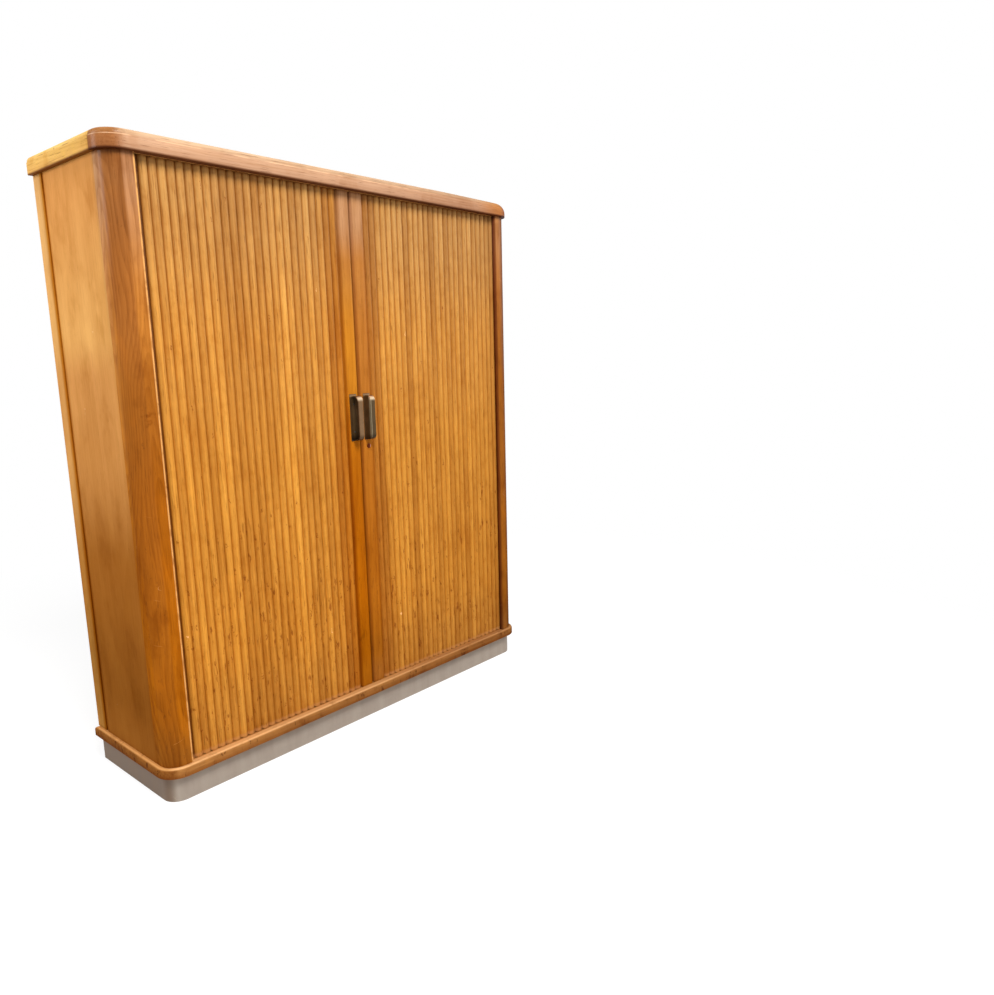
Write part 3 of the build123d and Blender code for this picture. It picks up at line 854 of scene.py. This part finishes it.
def mark_slat(wood):
    """Each slat's tone, the stained slats by the stile, painted valley shade and painted crest
    highlight.
    """
    tree = wood.tree
    wood.tint(blend(tree, written(tree, "slat_tone"), (0.80, 0.73, 0.66, 1), (1.10, 1.11, 1.06, 1)))
    right_hand = wood.rise(wood.x, -0.01, 0.01)
    stained = blend(tree, right_hand, (0.80, 0.64, 0.40, 1), (0.72, 0.60, 0.50, 1))
    wood.tint(stained, written(tree, "slat_stained"))
    flank = maths(tree, "ABSOLUTE", written(tree, "slat_across"))
    # Painted shade in the valleys between slats, darker higher up.
    valley_shade = wood.heights((1.15, (0.88, 0.76, 0.56)), (1.6, (0.76, 0.60, 0.42)))
    wood.tint(valley_shade, wood.rise(flank, 0.62, 1.0))
    # Painted highlight on each slat's crest.
    crest_highlight = wood.fade(flank, 0.0, 0.40, 0.45)
    wood.tint((1.22, 1.22, 1.26), crest_highlight)
    wood.mottle(8.0, (0.92, 0.86, 0.78), (1.04, 1.03, 1.0))
    wood.mottle(34.0, (0.91, 0.85, 0.76), (1.07, 1.07, 1.04), slat_shift(tree, wood.place))
    towards_the_right = wood.rise(wood.x, -0.6, 0.6)
    wood.tint((0.90, 0.90, 0.94), towards_the_right)
    # Painted shadow of the left post on the slats beside it.
    shade_beside_post = wood.fade(wood.x, -0.7265, -0.7225, 0.9)
    wood.tint((0.18, 0.09, 0.05), shade_beside_post)
    dusty_foot = wood.fade(wood.z, 0.1240, 0.1360, 0.55)
    wood.cover(colour(196, 138, 84), dusty_foot)
    # Painted shadow under the top's overhang.
    painted_shadow_under_top(wood)


varnished(
    "slat", colour(217, 154, 74), colour(164, 99, 32),
    figure={"Ring Width": 0.009, "Waviness": 0.02, "Ring Strength": 0.12, "Cloud Strength": 1.0,
            "Pore Strength": 0.5},
    faded=((0.15, (0.86, 0.83, 0.68)), (0.45, (0.99, 0.96, 0.71)), (0.95, (0.97, 0.96, 0.76)),
           (1.35, (0.96, 0.99, 0.97)), (1.85, (0.79, 0.92, 1.42))),
    stain=0.75, stain_colour=colour(130, 66, 22), worn=0.0, worn_colour=colour(232, 178, 116),
    shift=slat_shift, marked=mark_slat,
)
print("slat wood has", len(finishes["slat"].node_tree.nodes), "nodes")

# %% [markdown]
# Paint and canvas
#
# The plinth is painted a warm grey that has gone blotchy and is rubbed through at its edges. It is
# darker under the ledge, where shade is painted, and at its ends, which are soiled and in painted
# shade. The canvas is a plain weave, which follows the cloth and so reads the cloth's own map.


# %% Mix the paint and the canvas
def finish_with(tree, shade, roughness, height, depth, metallic=0.0):
    """Gives a colour, a roughness and a bump to a plain shader."""
    bump = put(tree, "ShaderNodeBump", {"Strength": 0.5, "Distance": depth, "Height": height})
    look = {"Base Color": shade, "Roughness": roughness, "Metallic": metallic, "Normal": bump.outputs[0]}
    shader = put(tree, "ShaderNodeBsdfPrincipled", look)
    put(tree, "ShaderNodeOutputMaterial", {0: shader.outputs[0]})


def painted(name, paint, faded, bare):
    tree, where = new_finish(name)
    blotch = noise(tree, stretch(tree, where["Object"], (34.0, 34.0, 6.0)), 1.0, 4.0, 0.5)
    scuff = noise(tree, stretch(tree, where["Object"], (14.0, 14.0, 90.0)), 1.0, 4.0, 0.7)
    coat = Surface(tree, blend(tree, ramp(tree, blotch, 0.2, 0.8), paint, faded), where)
    coat.cover(bare, coat.both(coat.rise(scuff, 0.60, 0.75), 0.3))
    edges = {"Place": coat.place, "Facing": coat.facing, "Evenness": 0.1}
    coat.cover(bare, place_group(tree, worn_edges, edges)["Wear"])
    # The ends are soiled, and darker as painted shade.
    soiled_and_shaded_end = coat.rise(coat.aside, 0.790, 0.812, 0.0, 0.9)
    coat.tint((0.46, 0.33, 0.22), soiled_and_shaded_end)
    # Painted shade under the base's ledge.
    shade_under_ledge = coat.heights(
        (0.060, (1, 1, 1)), (0.076, (0.98, 0.93, 0.86)), (0.086, (0.80, 0.66, 0.48))
    )
    coat.tint(shade_under_ledge)
    very_end = coat.rise(coat.aside, 0.818, 0.822)
    coat.tint((0.95, 0.90, 0.82), very_end)
    finish_with(tree, coat.shade, maths(tree, "MULTIPLY_ADD", blotch, 0.2, 0.5), blotch, 0.0003)


def cloth(name, thread, gap):
    tree, where = new_finish(name)
    threads = {"Vector": where["UV"], "Scale": 240.0}
    warp, weft = (
        put(tree, "ShaderNodeTexWave", threads, bands_direction=way).outputs["Fac"] for way in "XY"
    )
    cross = product(tree, warp, weft)
    slub = noise(tree, where["UV"], 60.0, 3.0)
    raised = maths(tree, "MULTIPLY_ADD", slub, 0.4, product(tree, cross, 0.6))
    rough = maths(tree, "MULTIPLY_ADD", slub, 0.1, 0.85)
    finish_with(tree, blend(tree, raised, gap, thread), rough, cross, 0.0003)


painted("plinth", colour(146, 132, 119), colour(158, 145, 131), colour(180, 166, 148))
cloth("canvas", colour(150, 128, 94), colour(70, 56, 38))
print("mixed paint and canvas")

# %% [markdown]
# Metals
#
# The pulls are dark bronze, polished by hands along their front; the small fittings are dull steel
# and brass. A metal that looks used is a blend of a dark patina and the bright metal under it, so
# one function works out how bright each point is and takes colour, gloss and roughness from that.


# %% Mix the metals
def metal(name, dark, bright, roughness, brushed, patches, tarnished=0.8, polished=None, marked=None):
    """A dull brushed metal; polished gives 1 where hands keep it bright."""
    tree, where = new_finish(name)
    piece = Surface(tree, None, where)
    patina = piece.rise(piece.patches(patches, 3.0), 0.3, 0.7)
    brush = noise(tree, stretch(tree, piece.place, brushed), 1.0, 2.0)
    edges = {"Place": piece.place, "Facing": piece.facing, "Evenness": 1.2}
    rubbed = place_group(tree, worn_edges, edges)["Wear"]
    shine = maths(tree, "MULTIPLY_ADD", patina, 0.18, product(tree, rubbed, 0.5))
    if polished is not None:
        shine = maths(tree, "MULTIPLY_ADD", polished(piece), 0.6, shine)
    swing = maths(tree, "SUBTRACT", brush, mean_noise)
    shine = maths(tree, "MULTIPLY_ADD", swing, 0.25, shine, clamp=True)
    piece.shade = blend(tree, shine, dark, bright)
    if marked is not None:
        marked(piece)
    dull = maths(tree, "MULTIPLY_ADD", shine, -0.08, roughness)
    dull = maths(tree, "MULTIPLY_ADD", brush, 0.12, dull)
    metallic = ramp(tree, shine, 0.1, 0.6, tarnished, 0.9)
    finish_with(tree, piece.shade, dull, brush, 0.0001, metallic)


def pull_front(pull):
    """The front of a pull and the rounds at its ends, which hands keep bright."""
    ahead = pull.fade(pull.y, -0.2390, -0.2330)
    outward = pull.fade(split(pull.tree, pull.facing)["Y"], -0.55, -0.15)
    return pull.both(ahead, outward)


def mark_pull(pull):
    """A pull's upper end is worn bright with a painted glint; painted shade at its foot and left hollow.
    """
    ahead = pull.fade(pull.y, -0.2520, -0.2440)
    # The right pull's front is darker.
    right_hand = pull.rise(pull.x, *MIDDLE)
    front_face = pull.fade(pull.y, -0.2540, -0.2500)
    pull.tint((0.42, 0.46, 0.42), pull.both(right_hand, front_face))
    # Painted shade in the left pull's hollow.
    shaded_left_mouth = pull.fade(pull.x, -0.0375, -0.0335, 0.8)
    pull.tint((0.55, 0.50, 0.46), shaded_left_mouth)
    # Painted highlight along the right pull's left edge.
    rim_highlight = pull.both(pull.rise(pull.x, 0.0170, 0.0180), pull.fade(pull.x, 0.0190, 0.0215))
    pull.cover(colour(170, 156, 124), pull.both(rim_highlight, ahead, 0.7))
    # Painted shade at the foot of each pull.
    shaded_foot = pull.fade(pull.z, 1.0520, 1.0740, 0.9)
    pull.tint((0.22, 0.20, 0.18), shaded_foot)
    on_plate = pull.rise(pull.y, -0.2300, -0.2250)
    above_grip = pull.both(pull.rise(pull.z, 1.2000, 1.2030), pull.fade(pull.z, 1.2080, 1.2100))
    pull.cover(colour(172, 138, 98), pull.both(above_grip, on_plate, 0.55))
    # The upper end is worn bright, with a painted glint.
    worn_and_lit_tip = pull.both(ahead, pull.rise(pull.z, 1.1840, 1.1980))
    pull.cover(colour(234, 206, 170), pull.both(worn_and_lit_tip, 0.9))


def mark_lock(lock):
    """A painted glint on the ring's outer side."""
    glint_side = lock.rise(lock.x, 0.0360, 0.0390, 0.0, 0.8)
    lock.cover(colour(224, 150, 124), glint_side)


metal("bronze", colour(78, 58, 32), colour(150, 116, 84), 0.34, brushed=(900.0, 900.0, 60.0),
      patches=25.0, tarnished=0.25, polished=pull_front, marked=mark_pull)
metal("steel", colour(84, 78, 68), colour(150, 144, 134), 0.42, brushed=(600.0,) * 3, patches=60.0)
metal("brass", colour(92, 32, 8), colour(180, 100, 62), 0.40, brushed=(500.0,) * 3, patches=90.0,
      tarnished=1.0, marked=mark_lock)
print("finishes:", ", ".join(finishes))

# %% [markdown]
# Dressing the CAD boards
#
# The record of the CAD model says which finish every board has. A board whose shape is right keeps
# its mesh and only gets its material.

# %% Give every CAD board its finish
slot_of = {part["node"]: part["material_slot"] for part in frame["record"]["subparts"]}
for node, slot in slot_of.items():
    for held in nodes[node].material_slots:
        held.material = finishes[slot]
print("dressed", len(slot_of), "boards")

# %% [markdown]
# The curtains' slats
#
# Each curtain has twenty-six slats with a round front, all alike, a fixed step apart. Modelling them
# one by one would be dull and hard to change, so a small Geometry Nodes tree makes one slat from a
# box whose front is pushed out to a circle's arc, puts a copy on each point of a line, and gives
# every copy its own tone and a slight lean. The tree's inputs are the joiner's sizes.


# %% Helpers for trees that make a shape
def shape_tree(name, inputs):
    """A geometry tree whose own mesh comes in as Places; its other inputs are (name, kind)."""
    tree = bpy.data.node_groups.new(name, "GeometryNodeTree")
    tree.interface.new_socket("Places", in_out="INPUT", socket_type="NodeSocketGeometry")
    for label, kind in inputs:
        tree.interface.new_socket(label, in_out="INPUT", socket_type=kind)
    tree.interface.new_socket("Geometry", in_out="OUTPUT", socket_type="NodeSocketGeometry")
    return tree, put(tree, "NodeGroupInput").outputs


def end_tree(tree, geometry, material):
    """Every tree ends the same way: real mesh instead of instances, and its material."""
    real = put(tree, "GeometryNodeRealizeInstances", {0: geometry}).outputs[0]
    held = put(tree, "GeometryNodeSetMaterial", {"Geometry": real, "Material": material}).outputs[0]
    put(tree, "NodeGroupOutput", {0: held})


def xyz(tree, x=0.0, y=0.0, z=0.0):
    return put(tree, "ShaderNodeCombineXYZ", {0: x, 1: y, 2: z}).outputs[0]


def moved(tree, geometry, to):
    return put(tree, "GeometryNodeTransform", {"Geometry": geometry, "Translation": to}).outputs[0]


def write_down(tree, geometry, name, value):
    """Stores a value on every point under a name, by which a material can read it."""
    kept = {"Geometry": geometry, "Name": name}
    node = put(tree, "GeometryNodeStoreNamedAttribute", kept, data_type="FLOAT", domain="POINT")
    fill(tree, node.inputs["Value"], value)
    return node.outputs[0]


def drawn(tree, number, highest, seed):
    """A random number from 0 to highest for each point, the same in every run."""
    sockets = {2: 0.0, 3: highest, 7: number, 8: seed}
    return put(tree, "FunctionNodeRandomValue", sockets, data_type="FLOAT").outputs[1]


INTEGER, LENGTH, MATERIAL = "NodeSocketInt", "NodeSocketFloat", "NodeSocketMaterial"

# %% Name the sizes of a row of slats
slat_sizes = ["Step", "Width", "Depth", "Land", "Height", "First X", "Back Y", "Bottom"]
slat_sizes += ["Tongue Width", "Tongue Thickness", "Tongue Set Back", "Tongue Reach", "Tilt"]
sockets = [("Count", INTEGER), ("Seed", INTEGER), *[(label, LENGTH) for label in slat_sizes]]
slat_row, given = shape_tree("slat_row", [*sockets, ("Material", MATERIAL)])
print("slat_row takes", len(slat_sizes), "sizes")

# %% Bend the front of a block to a circle's arc
tree = slat_row
block_size = xyz(tree, given["Width"], 1.0, given["Height"])
cuts = {"Size": block_size, "Vertices X": 11, "Vertices Y": 2, "Vertices Z": 2}
block = put(tree, "GeometryNodeMeshCube", cuts).outputs[0]
axes = split(tree, put(tree, "GeometryNodeInputPosition").outputs[0])
rise = maths(tree, "SUBTRACT", given["Depth"], given["Land"])
half_width = product(tree, given["Width"], 0.5)
squares = maths(tree, "ADD", square(tree, half_width), square(tree, rise))
radius = maths(tree, "DIVIDE", squares, product(tree, rise, 2.0))
fall = maths(tree, "SUBTRACT", square(tree, radius), square(tree, axes["X"]))
centre = maths(tree, "SUBTRACT", given["Depth"], radius)
arc = maths(tree, "ADD", centre, maths(tree, "SQRT", fall))
front = maths(tree, "LESS_THAN", axes["Y"], 0.0)
arc_y = product(tree, arc, product(tree, front, -1.0))
raised = maths(tree, "MULTIPLY_ADD", given["Height"], 0.5, axes["Z"])
pushed = {"Geometry": block, "Position": xyz(tree, axes["X"], arc_y, raised)}
bent = put(tree, "GeometryNodeSetPosition", pushed).outputs[0]
slat_body = write_down(tree, bent, "slat_across", maths(tree, "DIVIDE", axes["X"], half_width))
print("with the bent front, slat_row has", len(tree.nodes), "nodes")

# %% Add the tongues that run in the grooves, at the foot and at the head
tongue_size = xyz(tree, given["Tongue Width"], given["Tongue Thickness"], given["Tongue Reach"])
tongue = put(tree, "GeometryNodeMeshCube", {"Size": tongue_size}).outputs[0]
half_thick = product(tree, given["Tongue Thickness"], 0.5)
tongue_front = maths(tree, "SUBTRACT", given["Depth"], given["Tongue Set Back"])
tongue_y = maths(tree, "SUBTRACT", half_thick, tongue_front)
half_reach = product(tree, given["Tongue Reach"], 0.5)
foot = xyz(tree, 0.0, tongue_y, product(tree, half_reach, -1.0))
head = xyz(tree, 0.0, tongue_y, maths(tree, "ADD", given["Height"], half_reach))
join = put(tree, "GeometryNodeJoinGeometry")
for solid in (slat_body, moved(tree, tongue, foot), moved(tree, tongue, head)):
    tree.links.new(solid, join.inputs[0])
slat = join.outputs[0]
print("with the tongues, slat_row has", len(tree.nodes), "nodes")

# %% Set the slats in a row, each with its own tone and lean
start = xyz(tree, given["First X"], given["Back Y"], given["Bottom"])
row = {"Count": given["Count"], "Start Location": start, "Offset": xyz(tree, given["Step"])}
points = put(tree, "GeometryNodeMeshLine", row).outputs[0]
number = put(tree, "GeometryNodeInputIndex").outputs[0]
tone = drawn(tree, number, 1.0, given["Seed"])
stained = fade(tree, number, 0.0, 3.0)
points = write_down(tree, points, "slat_tone", tone)
points = write_down(tree, points, "slat_stained", stained)
lean = product(tree, maths(tree, "SUBTRACT", tone, 0.5), given["Tilt"])
copied = {"Points": points, "Instance": slat, "Rotation": xyz(tree, z=lean)}
end_tree(tree, put(tree, "GeometryNodeInstanceOnPoints", copied).outputs[0], given["Material"])
print("slat_row has", len(tree.nodes), "nodes")

# %% [markdown]
# From a tree to a mesh
#
# The tree becomes a plain mesh before it goes on the cabinet, because exported files keep meshes and
# not modifiers. An input of the modifier is found by its identifier, which stays the same when a
# socket is renamed.


# %% Run a shape tree and keep its mesh
def kept_mesh(maker):
    """The mesh of an object with its modifiers applied; the object itself goes."""
    bpy.context.view_layer.update()
    seen = maker.evaluated_get(bpy.context.evaluated_depsgraph_get())
    mesh = bpy.data.meshes.new_from_object(seen)
    bpy.data.objects.remove(maker)
    return mesh


def stand(name, mesh):
    """An object at the origin that holds the mesh."""
    made = bpy.data.objects.new(name, mesh)
    scene.collection.objects.link(made)
    return made


def grow(name, tree, values, places=()):
    """Runs a shape tree on a mesh of points and returns an object with the finished mesh."""
    points = bpy.data.meshes.new(name + "_maker")
    points.from_pydata(list(places), [], [])
    maker = stand(name + "_maker", points)
    modifier = maker.modifiers.new("shape", "NODES")
    modifier.node_group = tree
    for item in tree.interface.items_tree:
        if item.in_out == "INPUT" and item.name in values:
            modifier[item.identifier] = values[item.name]
    mesh = kept_mesh(maker)
    mesh.name = name
    mesh.shade_smooth()
    mesh.set_sharp_from_angle(angle=math.radians(35))
    return stand(name, mesh)


def belongs(piece, body, slot, *stands_for):
    """A piece rides on its body and hides the CAD nodes that it stands for; slot is not used."""
    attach(piece, body)
    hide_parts(*stands_for)
    return piece


# %% Grow both curtains
SIDES = (("left", -1), ("right", 1))
slat_count = 26
slat_gap = 0.0006
row_low, row_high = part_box("curtain_slats_right")
slat_step = (row_high.x - row_low.x + slat_gap) / slat_count
slat_width = slat_step - slat_gap
first_slat = row_low.x + slat_width / 2
slat_values = {
    "Count": slat_count, "Width": slat_width, "Depth": 0.009, "Land": 0.002, "Height": 1.775,
    "Back Y": -0.209, "Bottom": 0.1195, "Tongue Width": 0.010, "Tongue Thickness": 0.006,
    "Tongue Set Back": 0.002, "Tongue Reach": 0.0092, "Tilt": math.radians(1.6),
    "Material": finishes["slat"],
}
seeds = {"left": 4, "right": 11}
curtain_slats = {}
for side, way in SIDES:
    own = {"First X": way * first_slat, "Step": way * slat_step, "Seed": seeds[side]}
    slats = grow(f"slats_{side}", slat_row, {**slat_values, **own})
    belongs(slats, "carcass", "slat", f"curtain_slats_{side}")
    curtain_slats[side] = slats
    low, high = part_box(f"curtain_slats_{side}")
    print(slats.name, len(slats.data.polygons), "faces; CAD box x", round(low.x, 4), round(high.x, 4))

# %% [markdown]
# A mesh of its own for each curtain
#
# The real curtain runs round the corner and hides behind the side. Here close_up only gives each
# curtain piece a mesh of its own; the slats are not moved.


def close_up(piece, inner_edge):
    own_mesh(piece)


for side, way in SIDES:
    close_up(curtain_slats[side], row_low.x)

# %% [markdown]
# The canvas
#
# Behind the slats lies a strip of canvas that holds them together and is stretched flat by the glue.
# It is a thin sheet with a little slack behind each slat, so a strip with a ripple of a tenth of a
# millimetre is enough. Its map is in metres, so that the weave keeps its size. It keeps a hair's
# breadth clear of the stile and of the stile's tongue, so that they never rub when the curtain
# closes up.


# %% Make a sheet of canvas that follows a line
def line_length(line):
    """The distance from the start of the line at each of its points."""
    run = [0.0]
    for a, b in zip(line, line[1:]):
        run.append(run[-1] + math.dist(a, b))
    return run


def line_normals(line):
    normals = []
    for i in range(len(line)):
        a, b = line[max(i - 1, 0)], line[min(i + 1, len(line) - 1)]
        along = Vector((b[0] - a[0], b[1] - a[1])).normalized()
        normals.append(Vector((along.y, -along.x)))
    return normals


def canvas_sheet(name, line, bottom, top, thickness):
    """A sheet that follows a plan line of (x, y) points, thickness behind it, from bottom to top."""
    mesh = bmesh.new()
    uv = mesh.loops.layers.uv.new("cloth")
    run = line_length(line)
    rings = []
    for (x, y), n in zip(line, line_normals(line)):
        far = (x + n.x * thickness, y + n.y * thickness)
        rings.append([mesh.verts.new((px, py, z)) for px, py in ((x, y), far) for z in (bottom, top)])
    for i, (one, two) in enumerate(zip(rings, rings[1:])):
        for a, b in ((0, 1), (1, 3), (3, 2), (2, 0)):
            face = mesh.faces.new((one[a], one[b], two[b], two[a]))
            for loop in face.loops:
                corner = run[i] if loop.vert in one else run[i + 1]
                loop[uv].uv = (corner, loop.vert.co.z)
    mesh.faces.new((rings[0][2], rings[0][3], rings[0][1], rings[0][0]))
    mesh.faces.new((rings[-1][0], rings[-1][1], rings[-1][3], rings[-1][2]))
    bmesh.ops.recalc_face_normals(mesh, faces=mesh.faces)
    data = bpy.data.meshes.new(name)
    mesh.to_mesh(data)
    mesh.free()
    data.materials.append(finishes["canvas"])
    return stand(name, data), run[-1]


# %% Stretch the canvas behind the slats
clear = 0.00005
slack = 0.0001
steps_a_slat = 4
steps = steps_a_slat * slat_count
for side, way in SIDES:
    low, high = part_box(f"curtain_canvas_{side}")
    x0, x1 = (high.x, low.x) if way < 0 else (low.x, high.x)
    x0 += way * clear
    slack_at = [slack * (i % steps_a_slat == steps_a_slat // 2) for i in range(steps + 1)]
    line = [(x0 + (x1 - x0) * i / steps, low.y + clear + slack_at[i]) for i in range(steps + 1)]
    thickness = high.y - low.y - slack - clear
    sheet, wide = canvas_sheet(f"canvas_{side}", line, low.z, high.z, -way * thickness)
    belongs(sheet, "carcass", "canvas", f"curtain_canvas_{side}")
    close_up(sheet, abs(x0))
    print(sheet.name, "is", round(wide, 3), "m wide")

# %% [markdown]
# The tail of the canvas
#
# Past the corner post the canvas goes on round the corner with three more slats, and hangs there in
# its pocket even when the door is shut. It follows the backs of those slats: straight on, across the
# corner, and along the side. The bends are small arcs, because cloth under tension never has a crease.


# %% Round the corners of a line
def rounded_line(corners, reach, steps):
    """A plan line whose inner corners are replaced by small arcs that start reach before them."""
    line = [corners[0]]
    for before, corner, after in zip(corners, corners[1:], corners[2:]):
        into = (Vector(corner) - Vector(before)).normalized()
        out = (Vector(after) - Vector(corner)).normalized()
        for i in range(steps + 1):
            t = i / steps
            start = Vector(corner) - into * reach * (1 - t)
            end = Vector(corner) + out * reach * t
            line.append(tuple(start.lerp(end, t)))
    return [*line, corners[-1]]


# %% Lay the tail of the canvas round the corner
corner_centre = Vector((0.765, -0.179))
slat_turn = math.radians(47.0)
slat_backs = 0.030
bend_reach, bend_steps = 0.004, 4
tail_thickness = 0.0008
back_of_bent = corner_centre + Vector((math.sin(slat_turn), -math.cos(slat_turn))) * slat_backs
for side, way in SIDES:
    low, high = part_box(f"curtain_tail_canvas_{side}")
    inner, outer = sorted((abs(low.x), abs(high.x)))
    first_bend = back_of_bent.x - (back_of_bent.y - low.y) / math.tan(slat_turn)
    second_bend = back_of_bent.y + (outer - back_of_bent.x) * math.tan(slat_turn)
    corners = [(inner, low.y), (first_bend, low.y), (outer, second_bend), (outer, high.y)]
    line = rounded_line([(way * x, y) for x, y in corners], bend_reach, bend_steps)
    tail, long_way = canvas_sheet(f"canvas_tail_{side}", line, low.z, high.z, -way * tail_thickness)
    belongs(tail, "carcass", "canvas", f"curtain_tail_canvas_{side}")
    print(tail.name, "is", round(long_way, 3), "m round the corner")

# %% [markdown]
# The pulls
#
# Each pull is a shallow bronze box on a plate, open towards the curtain so that fingertips can hook
# in. Cast metal has no knife edges: light always catches a thin line along them. The CAD shape is
# right but sharp, so a copy of its mesh is merged, its flat faces are made whole again, and a Bevel
# modifier breaks every edge by half a millimetre. The same is done to the lock, more finely.


# %% Break the edges of the cast and turned metal
def whole_faces(node, name):
    """A copy of a CAD mesh whose loose triangles are merged into flat faces again."""
    mesh = bmesh.new()
    mesh.from_mesh(nodes[node].data)
    bmesh.ops.remove_doubles(mesh, verts=mesh.verts, dist=0.00002)
    flat = math.radians(1.0)
    bmesh.ops.dissolve_limit(mesh, angle_limit=flat, verts=mesh.verts, edges=mesh.edges)
    data = bpy.data.meshes.new(name)
    mesh.to_mesh(data)
    mesh.free()
    return data


def softened(node, width, body, slot):
    """A copy of a CAD piece with its edges broken, which then stands for it."""
    sharp = math.radians(30)
    data = whole_faces(node, node + "_soft")
    data.materials.append(finishes[slot])
    data.shade_smooth()
    data.set_sharp_from_angle(angle=sharp)
    rough = stand(node + "_rough", data)
    bevel = rough.modifiers.new("broken_edges", "BEVEL")
    bevel.width = width
    bevel.segments = 2
    bevel.limit_method = "ANGLE"
    bevel.angle_limit = sharp
    bevel.harden_normals = True
    done = kept_mesh(rough)
    done.name = node + "_cast"
    print(done.name, "has", len(done.polygons), "faces")
    return belongs(stand(done.name, done), body, slot, node)


for side, _ in SIDES:
    softened(f"handle_{side}", 0.0005, f"{side}_door", "bronze")
softened("lock_ring", 0.0003, "right_door", "brass")
softened("lock_plug", 0.0002, "lock", "brass")

# %% [markdown]
# Screws
#
# Slotted wood screws hold the pulls and the back boards. They are all one shape, so one tree makes a
# screw from a cone, a cylinder and a slot cut by a boolean, and puts it on every point that it gets.
# A joiner never leaves all the slots at the same angle, so each screw has its own turn.

# %% Build a screw's head and shank
screw_sizes = ["Head Radius", "Head Height", "Shank Radius", "Shank Length", "Slot Width", "Slot Depth"]
sockets = [("Seed", INTEGER), *[(label, LENGTH) for label in (*screw_sizes, "Tilt")]]
screws_on_points, given = shape_tree("screws_on_points", [*sockets, ("Material", MATERIAL)])
tree = screws_on_points
cone = {"Vertices": 24, "Radius Top": product(tree, given["Head Radius"], 0.8),
        "Radius Bottom": given["Head Radius"], "Depth": given["Head Height"]}
head = put(tree, "GeometryNodeMeshCone", cone, fill_type="NGON").outputs["Mesh"]
rod = {"Vertices": 16, "Radius": given["Shank Radius"], "Depth": given["Shank Length"]}
shank = put(tree, "GeometryNodeMeshCylinder", rod, fill_type="NGON").outputs["Mesh"]
shank = moved(tree, shank, xyz(tree, z=product(tree, given["Shank Length"], -0.5)))
whole = put(tree, "GeometryNodeMeshBoolean", operation="UNION", solver="EXACT")
for solid in (head, shank):
    tree.links.new(solid, whole.inputs["Mesh 2"])
print("screws_on_points takes", len(screw_sizes), "sizes")

# %% Cut the slot, and set a turned screw on every point
cut_length = product(tree, given["Head Radius"], 3.0)
cut_size = xyz(tree, cut_length, given["Slot Width"], given["Slot Depth"])
cutter = put(tree, "GeometryNodeMeshCube", {"Size": cut_size}).outputs[0]
cutter = moved(tree, cutter, xyz(tree, z=given["Head Height"]))
cut = {"Mesh 1": whole.outputs[0], "Mesh 2": cutter}
slotted = put(tree, "GeometryNodeMeshBoolean", cut, operation="DIFFERENCE", solver="EXACT")
number = put(tree, "GeometryNodeInputIndex").outputs[0]
rotation = xyz(tree, given["Tilt"], drawn(tree, number, math.pi, given["Seed"]))
set_in = {"Points": given["Places"], "Instance": slotted.outputs[0], "Rotation": rotation}
end_tree(tree, put(tree, "GeometryNodeInstanceOnPoints", set_in).outputs[0], given["Material"])
print("screws_on_points has", len(tree.nodes), "nodes")

# %% Set the screws of the pulls
screw = {
    "Head Radius": 0.0035, "Head Height": 0.002, "Shank Radius": 0.00175, "Shank Length": 0.016,
    "Slot Width": 0.0009, "Slot Depth": 0.0022, "Material": finishes["steel"],
}
head_first = math.radians(90)
seeds = {"left": 4, "right": 6}
for side, way in SIDES:
    low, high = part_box(f"handle_screws_{side}")
    across = (low.x + high.x) / 2
    seat = low.y + screw["Head Height"]
    ends = (low.z + screw["Head Radius"], high.z - screw["Head Radius"])
    values = {**screw, "Seed": seeds[side], "Tilt": head_first}
    pair = grow(f"pull_screws_{side}", screws_on_points, values, [(across, seat, z) for z in ends])
    belongs(pair, f"{side}_door", "steel", f"handle_screws_{side}")
    print(pair.name, "hold the pull at heights", [round(z, 3) for z in ends])

# %% Set the screws of the back
low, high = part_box("back_screws")
rows = 5
lowest, highest = low.z + screw["Head Radius"], high.z - screw["Head Radius"]
outside, beside_middle = high.x - screw["Head Radius"], 0.010
columns = (-outside, -beside_middle, beside_middle, outside)
heights = [lowest + (highest - lowest) * i / (rows - 1) for i in range(rows)]
places = [(x, high.y - screw["Head Height"], z) for x in columns for z in heights]
values = {**screw, "Seed": 9, "Tilt": -head_first}
back_row = grow("back_row_screws", screws_on_points, values, places)
belongs(back_row, "carcass", "steel", "back_screws")
print(len(places), "screws in the back,", len(back_row.data.polygons), "faces")
